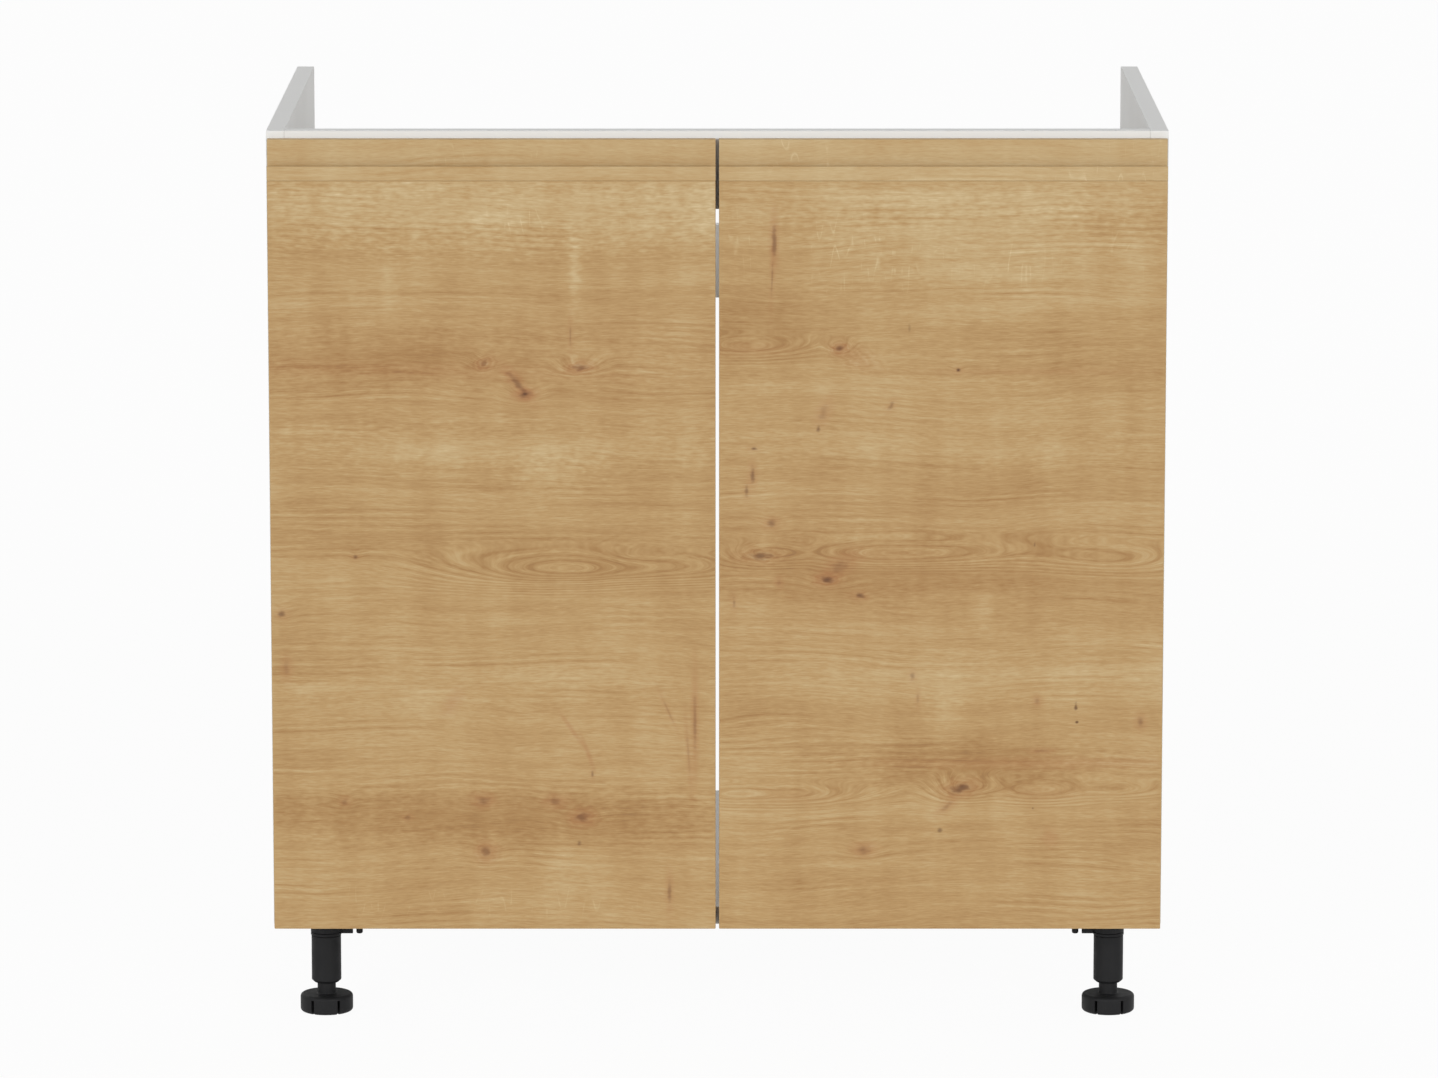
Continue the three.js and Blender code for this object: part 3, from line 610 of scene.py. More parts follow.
@dataclass(frozen=True)
class PrintedOak(Finish):
    """Oak-print laminate, matt with pores pressed in: fine grain along X, broad soft bands and some knots.

    The grain is read at (x, y, h), where h = z + slow waves + the swell of each mark, so all its layers
    bend together round a knot. Every size is in millimetres along and across the grain.

    Attributes:
        title: Name of the material.
        seed: Shifts the print, so that each board shows a part of its own.
        marks: Features of the print.
        joints: Heights below which the print shows another plank.
        lift: How much paler the wood is.
        contrast: Strength of the grain.
        upright_edges: Whether the grain runs up the faces that look sideways.
    """

    title: str
    seed: float
    marks: tuple[Mark, ...] = ()
    joints: tuple[float, ...] = ()
    lift: float = 0.0
    contrast: float = 1.0
    upright_edges: bool = False
    slot: ClassVar[str] = "oak_laminate"
    seed_step: ClassVar = (731.0, 0.0, 377.0)
    plank_step: ClassVar = (173.0, 0.0, 61.0)
    # Length, width, detail and strength of the waves that bend the grain: slow bends and small ripples
    waves: ClassVar = ((260, 130, 1.0, 30.0), (70, 22, 2.0, 3.6))
    # The same of the grain's layers, from planks over bands and fibres to hairs, which are the pores drawn as
    # coarse as they need to show
    layers: ClassVar = ((500, 60, 1.0, 0.36), (170, 9, 2.0, 0.35), (34, 1.5, 1.0, 0.21), (8, 0.7, 1.0, 0.42))
    # The same of the upright shimmer, and of the drift of the growth lines in radians
    shimmer: ClassVar = (30, 120, 2.0, 0.3)
    drift: ClassVar = (210, 34, 1.0, 16.0)
    late_wood: ClassVar[float] = -0.14
    early_wood: ClassVar[float] = 0.1
    fleck_light: ClassVar[float] = 0.24
    base_tone: ClassVar[float] = 0.585
    ring_spacing: ClassVar[float] = 6.5
    ring_turn: ClassVar[float] = 9.0
    unevenness: ClassVar[float] = 1.2
    # For each part of a mark: the sum that it goes into, and how many of the mark's sizes away it ends
    reaches: ClassVar = {
        "swell": (0, 4.0), "dark": (1, 1.0), "red": (2, 2.4),
        "tone": (3, 1.0), "rings": (3, 3.0), "fleck": (4, 1.2),
    }
    tones: ClassVar = (
        (0.0, "#886541"), (0.31, "#a27c4d"), (0.6, "#b69565"),
        (0.75, "#bea275"), (0.88, "#c6ae83"), (1.0, "#d0ba91"),
    )
    stains: ClassVar = ("#a26a42", "#5c3b26")

    def dress(self, tree: Tree, place: Source) -> Node:
        """Bends the grain, sums its layers, colours the sum and stains the marks. Args as in Finish."""
        if self.upright_edges:
            place = self.turned_to_edge(tree, place)
        moved = add(tree, "VectorMath", (place, [self.seed * step for step in self.seed_step]), "ADD")
        height = add(tree, "SeparateXYZ", [place]).outputs["Z"]
        for joint in self.joints:
            below = add(tree, "Math", (height, joint), "LESS_THAN")
            plank = add(tree, "VectorMath", {0: self.plank_step, "Scale": below}, "SCALE")
            moved = add(tree, "VectorMath", (moved, plank), "ADD")
        swell, dark, red, shade, silver = self.marked(tree, place)
        bend = self.weighted(tree, self.layered(tree, moved, self.waves), swell)
        lifted = add(tree, "CombineXYZ", {"Z": bend})
        grain = add(tree, "VectorMath", (moved, lifted), "ADD")
        layers = self.layered(tree, grain, self.layers)
        hair = layers[-1][0]
        layers += self.layered(tree, moved, [self.shimmer])
        late, early = self.growth(tree, grain, moved, swell)
        layers += [(late, self.late_wood), (early, self.early_wood)]
        layers.append((self.flecks(tree, moved, silver), self.fleck_light))
        shares = [(layer, share * self.contrast) for layer, share in layers]
        tone = add(tree, "Math", (self.weighted(tree, shares, shade), self.base_tone + self.lift), "ADD")
        ramp = add(tree, "ValToRGB", [tone])
        stops = ramp.color_ramp.elements
        while len(stops) < len(self.tones):
            stops.new(0.5)
        for stop, (position, code) in zip(stops, self.tones):
            stop.position = position
            stop.color = linear(code)
        colour = ramp
        for amount, stain in zip((red, dark), self.stains):
            mix = {"Factor": amount, "A": colour, "B": linear(stain)}
            colour = add(tree, "Mix", mix, data_type="RGBA").outputs["Result"]
        pore = add(tree, "MapRange", (hair, -0.28, -0.1))
        gloss = add(tree, "MapRange", (pore, 0.0, 1.0, 0.6, 0.5))
        bump = add(tree, "Bump", {"Height": pore, "Strength": 0.2, "Distance": 0.00005})
        inputs = {"Base Color": colour, "Roughness": gloss, "Specular IOR Level": 0.3, "Normal": bump}
        return add(tree, "BsdfPrincipled", inputs)

    def turned_to_edge(self, tree: Tree, place: Source) -> Source:
        """Swaps x and z where a face looks sideways, so that a band's grain runs along its edge.

        Args:
            tree: Node tree.
            place: Place in millimetres.

        Returns:
            The place with the swap.
        """
        normal = add(tree, "SeparateXYZ", [add(tree, "TexCoord").outputs["Normal"]])
        sideways = add(tree, "Math", [normal], "ABSOLUTE")
        chosen = add(tree, "Math", (sideways, 0.7), "GREATER_THAN")
        part = add(tree, "SeparateXYZ", [place]).outputs
        swapped = add(tree, "CombineXYZ", (part["Z"], part["Y"], part["X"]))
        mix = {"Factor": chosen, "A": place, "B": swapped}
        return add(tree, "Mix", mix, data_type="VECTOR").outputs["Result"]

    def noise(self, tree: Tree, place: Source, length: float, width: float, detail: float) -> Node:
        """Noise about zero whose blotches have a length along the grain and a width across it."""
        raw = figure(tree, place, (length, width, width), detail, 0.55)
        return add(tree, "Math", (raw, 0.5), "SUBTRACT")

    def layered(self, tree: Tree, place: Source, sizes: Sequence[tuple]) -> list[tuple[Node, float]]:
        """Noises of given length, width and detail, each with its strength."""
        return [(self.noise(tree, place, *size), strength) for *size, strength in sizes]

    def weighted(self, tree: Tree, layers: Sequence[tuple[Source, float]], total: Source = 0.0) -> Source:
        """Adds layers, each times its share, to a total.

        Args:
            tree: Node tree.
            layers: Each layer with its share.
            total: What they are added to.

        Returns:
            The sum.
        """
        for layer, share in layers:
            total = add(tree, "Math", (layer, share, total), "MULTIPLY_ADD")
        return total

    def growth(self, tree: Tree, grain: Source, moved: Source, swell: Source) -> tuple[Node, ...]:
        """Growth lines, sin(2 pi (h / spacing + slow noise)), clear round swells and in patches elsewhere.

        Args:
            tree: Node tree.
            grain: Place with its bent height.
            moved: Place before bending.
            swell: Sum of the marks' swells.

        Returns:
            The thin dark late-wood lines and the paler lines between them.
        """
        height = add(tree, "SeparateXYZ", [grain]).outputs["Z"]
        turns = [(height, 2 * math.pi / self.ring_spacing), *self.layered(tree, moved, [self.drift])]
        count = self.weighted(tree, turns)
        wave = add(tree, "Math", [count], "SINE")
        patches = add(tree, "MapRange", (self.noise(tree, grain, 130, 16, 1.0), -0.02, 0.2))
        near = add(tree, "MapRange", (swell, 2.0, 9.0))
        clear = add(tree, "Math", (patches, near), "MAXIMUM")
        lines = [add(tree, "MapRange", (wave, start, stop)) for start, stop in ((0.45, 1.0), (-0.5, -1.0))]
        return tuple(add(tree, "Math", (line, clear), "MULTIPLY") for line in lines)

    def flecks(self, tree: Tree, place: Source, silver: Source) -> Node:
        """Ray flecks: pale upright arcs, as short pieces of the zero lines of a tall narrow noise.

        Args:
            tree: Node tree.
            place: Place before bending.
            silver: Where the marks ask for flecks. Without marks they come in patches of their own.

        Returns:
            Strength of the flecks.
        """
        away = add(tree, "Math", [self.noise(tree, place, 10, 52, 0.0)], "ABSOLUTE")
        line = add(tree, "MapRange", (away, 0.028, 0.0))
        piece = add(tree, "MapRange", (self.noise(tree, place, 16, 15, 1.0), -0.02, 0.1))
        arcs = add(tree, "Math", (line, piece), "MULTIPLY")
        region = silver or add(tree, "MapRange", (self.noise(tree, place, 110, 50, 1.0), 0.03, 0.16))
        return add(tree, "Math", (arcs, region), "MULTIPLY")

    def marked(self, tree: Tree, place: Source) -> list[Source]:
        """Sums of what the marks do.

        Each mark fades with its distance d = |turned (p - at) / size| and ends at its reach. The rings shade
        by cos(ring turn * d). All but the swell have uneven outlines.

        Args:
            tree: Node tree.
            place: Place in millimetres.

        Returns:
            Sums of swell, heart, stain, tone and flecks, each 0.0 without marks.
        """
        totals: list[Source] = [0.0] * 5
        flat = add(tree, "VectorMath", (place, (1, 0, 1)), "MULTIPLY")
        uneven = self.noise(tree, flat, 9, 4, 1.0)
        for mark in self.marks:
            away = add(tree, "VectorMath", (place, (mark.x, 0, mark.z)), "SUBTRACT")
            turn = {"Vector": away, "Angle": math.radians(mark.tilt)}
            turned = add(tree, "VectorRotate", turn, rotation_type="Y_AXIS")
            scaled = add(tree, "VectorMath", (turned, (1 / mark.length, 0, 1 / mark.width)), "MULTIPLY")
            exact = add(tree, "VectorMath", [scaled], "LENGTH").outputs["Value"]
            distance = add(tree, "Math", (uneven, self.unevenness, exact), "MULTIPLY_ADD")
            for part, (number, reach) in self.reaches.items():
                strength = getattr(mark, part)
                if not strength:
                    continue
                span = (exact if part == "swell" else distance, 0.0, reach, strength, 0.0)
                fade = add(tree, "MapRange", span, interpolation_type="SMOOTHSTEP")
                if part == "rings":
                    phase = add(tree, "Math", (distance, self.ring_turn), "MULTIPLY")
                    wave = add(tree, "Math", [phase], "COSINE")
                    fade = add(tree, "Math", (fade, wave), "MULTIPLY")
                totals[number] = add(tree, "Math", (fade, totals[number]), "ADD")
        return totals


LEFT_MARKS = (
    # Broad paler and darker bands
    Mark(-200, 752, 460, 54, tone=0.28),
    Mark(-290, 620, 360, 40, tone=-0.18, red=0.05),
    Mark(-170, 541, 360, 34, tone=0.18),
    Mark(-60, 426, 230, 46, tone=-0.1),
    Mark(-220, 320, 330, 34, tone=0.1),
    Mark(-220, 203, 360, 36, tone=-0.22),
    # Upright shimmer and pale patches
    Mark(-292, 684, 13, 64, tone=0.14),
    Mark(-127, 696, 8, 52, tone=0.2),
    Mark(-150, 514, 62, 34, tone=0.12),
    Mark(-200, 741, 36, 20, tone=0.1),
    Mark(-122, 160, 50, 30, tone=0.1),
    # Ray flecks
    Mark(-226, 744, 34, 14, fleck=1.0),
    Mark(-172, 744, 30, 16, fleck=1.2),
    Mark(-96, 742, 44, 12, fleck=0.5),
    Mark(-296, 128, 70, 20, fleck=0.8),
    Mark(-150, 124, 90, 18, fleck=0.8),
    # Knots and eyes of the upper half
    Mark(-300, 609, 150, 5, tone=-0.1, red=0.12, tilt=-1.5),
    Mark(-130.4, 640, 1.6, 12, dark=0.34, red=0.2),
    Mark(-171, 586.5, 8, 4, dark=0.95, red=0.5, swell=7, tilt=4),
    Mark(-178, 597, 16, 4, dark=0.5, red=0.36, tilt=-51),
    Mark(-122, 611, 9, 4, dark=0.6, red=0.42, swell=11, rings=0.1, tilt=6),
    Mark(-206.5, 614.5, 6, 4, dark=0.45, red=0.36, swell=6, rings=0.14, tilt=15),
    Mark(-118, 427, 26, 4.5, swell=15),
    Mark(-160, 427, 46, 8, swell=30),
    Mark(-14, 427, 22, 6, swell=20),
    Mark(-322.6, 439.5, 3, 3, dark=0.7, red=0.2, swell=2),
    Mark(-389, 388, 5, 4, dark=0.6, red=0.3, swell=4),
    Mark(-385.5, 339, 4, 9, dark=0.2, red=0.3),
    # Streaks and small knots of the lower half
    Mark(-20, 289, 2.4, 36, dark=0.34, red=0.4),
    Mark(-26, 262, 1.6, 28, dark=0.16, red=0.26, tilt=4),
    Mark(-44, 300, 1.4, 16, dark=0.2, red=0.2, tilt=24),
    Mark(-131, 284, 1.4, 11, red=0.34, tilt=34),
    Mark(-116, 262, 1.4, 11, red=0.34, tilt=20),
    Mark(-112, 242, 2, 5, dark=0.5, red=0.2),
    Mark(-237, 308, 5, 10, red=0.24, tilt=-30),
    Mark(-210, 218, 8, 5, dark=0.45, red=0.4, swell=3),
    Mark(-145, 217, 8, 5, dark=0.36, red=0.4, swell=3),
    Mark(-121, 202.5, 9, 6, dark=0.6, red=0.5, swell=5, rings=0.06),
    Mark(-207, 171, 7, 7, dark=0.5, red=0.42, swell=4, rings=0.06),
    Mark(-334, 217, 4, 4, dark=0.3, red=0.26, swell=3),
    Mark(-278, 202.5, 4, 3, dark=0.34, red=0.2),
    Mark(-124, 179, 2.5, 3, dark=0.5),
    Mark(-43, 134, 2.6, 14, dark=0.4, red=0.3),
)
RIGHT_MARKS = (
    # Broad paler and darker bands
    Mark(230, 735, 220, 62, tone=0.14),
    Mark(200, 766, 460, 44, tone=0.14),
    Mark(30, 650, 90, 90, tone=-0.12),
    Mark(170, 640, 80, 60, tone=0.08),
    Mark(340, 602, 130, 34, tone=-0.1),
    Mark(200, 540, 360, 30, tone=0.13),
    Mark(110, 428, 260, 54, tone=-0.14, red=0.04),
    Mark(200, 326, 360, 34, tone=0.1),
    Mark(230, 252, 180, 38, tone=-0.2),
    Mark(237, 395, 13, 24, tone=0.14),
    Mark(204, 296, 30, 26, tone=0.12),
    # Ray flecks
    Mark(22, 722, 26, 36, fleck=0.8),
    Mark(112, 716, 44, 40, fleck=1.2),
    Mark(176, 700, 40, 26, fleck=0.9),
    Mark(250, 704, 60, 26, fleck=0.9),
    Mark(366, 720, 34, 40, fleck=0.6),
    # Streaks, knots and eyes of the upper half
    Mark(50.5, 722, 3, 20, dark=0.5, red=0.4),
    Mark(48.6, 690, 1.6, 24, dark=0.36, red=0.2, tilt=-2),
    Mark(109, 628, 5, 4, dark=0.75, red=0.4, swell=9, rings=0.1),
    Mark(121, 621, 16, 7, red=0.2, rings=0.08, tilt=-28),
    Mark(30, 627, 26, 5, red=0.14, swell=22),
    Mark(214, 608.5, 3, 2.4, dark=0.95, red=0.2, swell=2),
    Mark(280, 607, 70, 2, red=0.14),
    Mark(170.5, 646, 1.8, 6, dark=0.3),
    Mark(94.5, 570, 5, 10, dark=0.24, red=0.3, tilt=-20),
    Mark(90, 556, 2.4, 4, dark=0.6),
    Mark(155, 577, 3, 6, dark=0.45, red=0.2, tilt=-30),
    Mark(32.5, 538, 4, 2.4, dark=0.75, red=0.2),
    Mark(31.6, 515, 3, 9, dark=0.6, red=0.3),
    Mark(26.2, 500, 2.6, 7, dark=0.5, red=0.2),
    Mark(48, 470.5, 6, 4, dark=0.5, red=0.3, swell=3),
    # Long eyes and knots of the lower half
    Mark(38.3, 440.6, 14, 5, dark=0.65, red=0.24, swell=20, rings=0.12),
    Mark(109, 431, 14, 7, dark=0.34, red=0.3, tilt=35),
    Mark(98, 419.5, 8, 5, dark=0.85, red=0.4, swell=6, rings=0.08),
    Mark(127, 405, 6, 3.4, dark=0.7, red=0.3, swell=3, tilt=-8),
    Mark(15, 398, 2.2, 6, dark=0.4, red=0.2),
    Mark(55, 417, 3, 4, dark=0.2, red=0.3),
    Mark(134, 441, 34, 5, red=0.05, swell=20),
    Mark(236, 440, 50, 6, swell=20),
    Mark(366, 434, 26, 6, swell=20),
    Mark(283, 451, 1.5, 3, dark=0.5),
    Mark(174.4, 331.5, 3, 4.4, dark=0.4, red=0.2),
    Mark(179.4, 311, 2, 7, dark=0.2, red=0.2),
    Mark(321, 304, 2.2, 5, dark=0.85),
    Mark(322, 289.7, 2, 2, dark=0.95),
    Mark(379, 290, 4, 6, dark=0.4, red=0.3),
    Mark(286.4, 309, 3, 4, dark=0.24, red=0.3),
    Mark(291, 263.4, 9, 2, dark=0.24, red=0.3),
    Mark(280, 252, 90, 4, red=0.24),
    Mark(218.5, 229, 12, 6, dark=0.8, red=0.4, swell=22, rings=0.1, tilt=8),
    Mark(206, 213, 9, 3, dark=0.3, red=0.3, tilt=38),
    Mark(292, 225, 26, 5, red=0.1, swell=22),
    Mark(372, 226, 14, 4, swell=12),
    Mark(64, 222, 30, 4.4, red=0.08, swell=18),
    Mark(4, 222, 14, 4, swell=12),
    Mark(199.6, 191, 3, 3.4, dark=0.6),
    Mark(283, 211, 1.6, 1.6, dark=0.6),
    Mark(298.7, 184, 6, 6, red=0.28),
    Mark(131.4, 173, 8, 5, dark=0.4, red=0.4, swell=4),
)
OAK = {
    "left_door_board": PrintedOak("oak_print_laminate_left", 1.0, LEFT_MARKS, joints=(323.3,)),
    "right_door_board": PrintedOak("oak_print_laminate_right", 2.3, RIGHT_MARKS),
    "left_grip_profile": PrintedOak("oak_print_foil_left", 3.1, lift=0.17, contrast=0.75),
    "right_grip_profile": PrintedOak("oak_print_foil_right", 4.7, lift=0.17, contrast=0.75),
}
OAK_BAND = PrintedOak("oak_print_edge_band", 5.9, lift=0.06, contrast=0.7, upright_edges=True)


# ---------- Pieces ----------


def linked(name: str, data: bpy.types.ID) -> bpy.types.Object:
    """Makes an object and puts it in the scene.

    Args:
        name: Its name.
        data: Its mesh, light or camera.

    Returns:
        The object.
    """
    made = bpy.data.objects.new(name, data)
    bpy.context.collection.objects.link(made)
    return made


@dataclass(frozen=True)
class Piece:
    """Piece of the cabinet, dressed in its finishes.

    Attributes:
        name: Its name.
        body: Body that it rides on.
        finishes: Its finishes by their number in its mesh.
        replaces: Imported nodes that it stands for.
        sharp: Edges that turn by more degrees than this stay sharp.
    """

    name: str
    body: str
    finishes: Sequence[Finish]
    replaces: Sequence[str] = ()
    sharp: float = 35.0

    def of_skin(self, skin: Skin) -> None:
        """Makes the piece of a surface, welded and with its place in its mesh.

        Args:
            skin: Surface in millimetres.
        """
        points = np.concatenate(skin.points) * MM
        _, first, number = np.unique(np.round(points / WELD), axis=0, return_index=True, return_inverse=True)
        corners = number.ravel().tolist()
        welded = [list(dict.fromkeys(corners[i] for i in face)) for face in skin.faces]
        kept = [(face, finish) for face, finish in zip(welded, skin.finishes) if len(face) > 2]
        mesh = bpy.data.meshes.new(self.name)
        mesh.from_pydata(points[first], [], [face for face, _ in kept])
        mesh.polygons.foreach_set("material_index", [finish for _, finish in kept])
        self.settle(linked(self.name, mesh))

    def of_solid(self, radius: float) -> None:
        """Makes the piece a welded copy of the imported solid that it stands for, with its edges rounded off.

        Args:
            radius: Radius of the edges.
        """
        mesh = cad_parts[self.replaces[0]].data.copy()
        mesh.materials.clear()
        work = bmesh.new()
        work.from_mesh(mesh)
        bmesh.ops.remove_doubles(work, verts=work.verts, dist=WELD)
        bmesh.ops.dissolve_limit(work, angle_limit=math.radians(1), verts=work.verts, edges=work.edges)
        work.to_mesh(mesh)
        work.free()
        piece = linked(self.name, mesh)
        bevel = piece.modifiers.new("eased_edges", "BEVEL")
        bevel.width = radius * MM
        bevel.segments = 2
        bevel.limit_method = "ANGLE"
        bevel.angle_limit = math.radians(32)
        bevel.use_clamp_overlap = True
        self.settle(piece)

    def settle(self, piece: bpy.types.Object) -> None:
        """Turns the faces outwards, shades and dresses the piece, and tells the frame of it.

        Args:
            piece: Its object.
        """
        work = bmesh.new()
        work.from_mesh(piece.data)
        bmesh.ops.recalc_face_normals(work, faces=work.faces)
        work.to_mesh(piece.data)
        work.free()
        for finish in self.finishes:
            piece.data.materials.append(finish.material())
        piece.data.shade_smooth()
        piece.data.set_sharp_from_angle(angle=math.radians(self.sharp))
        weighted = piece.modifiers.new("face_weighted_normals", "WEIGHTED_NORMAL")
        weighted.keep_sharp = True
        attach(piece, self.body)
        if self.replaces:
            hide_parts(*self.replaces)
        LOG.info("%s on %s, %d faces", piece.name, self.body, len(piece.data.polygons))


# ---------- Sub-assemblies ----------


@dataclass
class Carcass:
    """Five melamine boards: two sides, a bottom, a front rail and a rear rail set low.

    Every board edge carries a band with a small radius and a fine glue line. The cam bores open below the
    bottom panel and on the hidden faces of the rails.
    """

    band_radius: float = 0.5
    corner: float = 0.8
    bore_radius: float = 7.5
    bore_depth: float = 12.7

    def board(self, name: str, along: Along, cams: Sequence[str] = ()) -> None:
        """Builds one board in the box of its node.

        Args:
            name: The node.
            along: Axis of the board's thickness.
            cams: Cams that it is bored for.
        """
        low, high = box_mm(name)
        outline = rounded_rectangle(low[along.plan], high[along.plan], self.corner)
        ends = low[along.axis], high[along.axis]
        bores = []
        for cam in cams:
            face, inwards = ends[CAMS[cam][1]], 1 - 2 * CAMS[cam][1]
            heights = face, face + inwards * self.bore_depth
            bores += [Opening.bore(cam_centre(side, cam), self.bore_radius, heights) for side in Side]
        skin = Skin()
        skin.plate(outline, eased(*ends, self.band_radius), along, bores, side_finish=1, glue_finish=2)
        Piece(f"{name}_board", "carcass", [MELAMINE, BAND, GlueLine()], [name]).of_skin(skin)

    def build(self) -> None:
        """Builds the five boards."""
        self.board("left_side_panel", Along.X)
        self.board("right_side_panel", Along.X)
        self.board("bottom_panel", Along.Z, ("bottom_front", "bottom_rear"))
        self.board("front_rail", Along.Y, ("front_rail",))
        self.board("rear_rail", Along.Y, ("rear_rail",))


@dataclass
class CamFittings:
    """Cam housings of the board joints, with a cross recess in the face of each, and their bolts."""

    radius: float = 7.2
    rim_round: float = 0.4
    recess_reach: float = 4.0
    recess_width: float = 1.6
    recess_depth: float = 2.0

    def cam(self, side: Side, name: str) -> None:
        """Builds one cam, its face level with the face of its board.

        Args:
            side: Half of the cabinet.
            name: Its entry in CAMS.
        """
        along, end = CAMS[name]
        node = f"{side}_{name}_cam"
        ends = box_mm(node)[:, along.axis]
        inwards = 1 - 2 * end
        heights = ends[end], ends[end] + inwards * self.recess_depth
        centre = cam_centre(side, name)
        recess = Opening.cross(centre, self.recess_reach, self.recess_width, heights)
        skin = Skin()
        skin.plate(circle(centre, self.radius), eased(*ends, self.rim_round), along, [recess])
        Piece(f"{node}_casting", "carcass", [ZINC], [node], sharp=25).of_skin(skin)

    def build(self) -> None:
        """Builds the cams and gives the bolts, which lie inside the boards, their plating."""
        for side in Side:
            for name in CAMS:
                self.cam(side, name)
                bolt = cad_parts[f"{side}_{name}_bolt"]
                bolt.data.materials.clear()
                bolt.data.materials.append(NICKEL.material())


@dataclass
class Door:
    """Oak-print door with a wrapped grip profile on top and a clear bumper behind its free corner."""

    side: Side
    edge_radius: float = 0.6
    corner: float = 0.9
    cup_bore_radius: float = 17.8
    cup_bore_depth: float = 13.1
    hinge_heights: tuple[float, float] = (703.6, 200.0)
    depth: float = 18.0
    seam_round: float = 0.6
    lip_height: float = 13.0
    lip_thickness: float = 3.0
    lip_round: float = 0.8
    groove_width: float = 8.5
    groove_floor: float = 3.5
    wall_thickness: float = 10.0
    wall_foot_drop: float = 5.0
    wall_curve: float = 5.0
    grip_height: float = 36.0
    grip_end_round: float = 0.25
    bumper_rim: float = 0.3

    def board(self) -> None:
        """Builds the board, bored behind for the two hinge cups."""
        name = f"{self.side}_door_board"
        low, high = box_mm(name)
        outline = rounded_rectangle(low[[0, 2]], high[[0, 2]], self.corner)
        x, heights = self.side.value * (HALF_WIDTH - CUP_INSET), (high[1], high[1] - self.cup_bore_depth)
        bores = [Opening.bore((x, z), self.cup_bore_radius, heights, 96) for z in self.hinge_heights]
        skin = Skin()
        skin.plate(outline, eased(low[1], high[1], self.edge_radius), Along.Y, bores, side_finish=1)
        Piece(f"{name}_laminated", f"{self.side}_door", [OAK[name], OAK_BAND], [name]).of_skin(skin)

    def grip_section(self) -> np.ndarray:
        """Section of the grip profile: a thin lip, a groove, and a wall with a rounded top.

        The groove's floor is a half circle, and the wall's foot runs out of it in the S curve
        x = a + (b - a) (3 t^2 - 2 t^3).

        Returns:
            Points as (distance behind the door front, height above the board).
        """
        r, lip, seam, half = self.lip_round, self.lip_thickness, self.seam_round, self.groove_width / 2
        wall, groove_back = self.depth - self.wall_thickness, lip + self.groove_width
        t = np.linspace(0, 1, 13)
        curve = groove_back + (wall - groove_back) * (3 * t**2 - 2 * t**3)
        return np.concatenate([
            arc((seam, seam + GAP), seam, 270, 180, 3),
            arc((r, self.lip_height - r), r, 180, 90),
            arc((lip - r, self.lip_height - r), r, 90, 0),
            arc((lip + half, self.groove_floor + half), half, 180, 360, 24),
            np.column_stack([curve, self.lip_height - self.wall_foot_drop + self.wall_curve * t]),
            arc((wall + r, self.grip_height - r), r, 180, 90),
            arc((self.depth - r, self.grip_height - r), r, 90, 0),
            [(self.depth, GAP)],
        ])[::-1]

    def grip(self) -> None:
        """Carries the grip section along the top of the door."""
        name = f"{self.side}_grip_profile"
        low, high = box_mm(name)
        skin = Skin()
        section = self.grip_section() + (low[1], low[2] - GAP)
        skin.plate(section, eased(low[0], high[0], self.grip_end_round, 2), Along.X)
        Piece(f"{name}_wrapped", f"{self.side}_door", [OAK[name]], [name], sharp=28).of_skin(skin)

    def bumper(self) -> None:
        """Turns the bumper: a disc with a domed top, r = R cos(t)^0.6, height = rim + h sin t."""
        node = f"{self.side}_door_bumper"
        low, high = box_mm(node)
        base, radius, rise = low[1], (high[0] - low[0]) / 2, high[1] - low[1] - self.bumper_rim
        t = np.linspace(0, 0.48 * math.pi, 8)
        dome = np.column_stack([radius * np.cos(t) ** 0.6, base + self.bumper_rim + rise * np.sin(t)])
        skin = Skin()
        skin.turned(np.array([(radius, base), *dome]), (low + high)[[0, 2]] / 2, Along.Y, steps=48)
        Piece(f"{node}_dome", f"{self.side}_door", [CLEAR], [node]).of_skin(skin)

    def build(self) -> None:
        """Builds the door's three pieces."""
        self.board()
        self.grip()
        self.bumper()


@dataclass
class Screw:
    """Head of a cross-point screw: a rounded top with a recess."""

    radius: float = 3.4
    height: float = 1.8
    recess_reach: float = 1.9
    recess_width: float = 0.8
    recess_depth: float = 1.2

    def draw(self, skin: Skin, centre: Pair, seat: float, outwards: int, along: Along) -> None:
        """Adds the head to a skin.

        Args:
            skin: Where it is added.
            centre: Middle of the head.
            seat: Height that it stands on.
            outwards: 1 or -1, the way that it rises.
            along: Axis of the height.
        """
        t = np.linspace(0, 0.42 * math.pi, 6)
        heights = seat + outwards * self.height * np.array([0, *(0.3 + 0.7 * np.sin(t) / math.sin(t[-1]))])
        draws = self.radius * np.array([0, *(1 - np.cos(t) ** 0.7)])
        recess_heights = heights[-1], heights[-1] - outwards * self.recess_depth
        recess = Opening.cross(centre, self.recess_reach, self.recess_width, recess_heights)
        skin.plate(circle(centre, self.radius, 40), list(zip(heights, draws)), along, [recess])


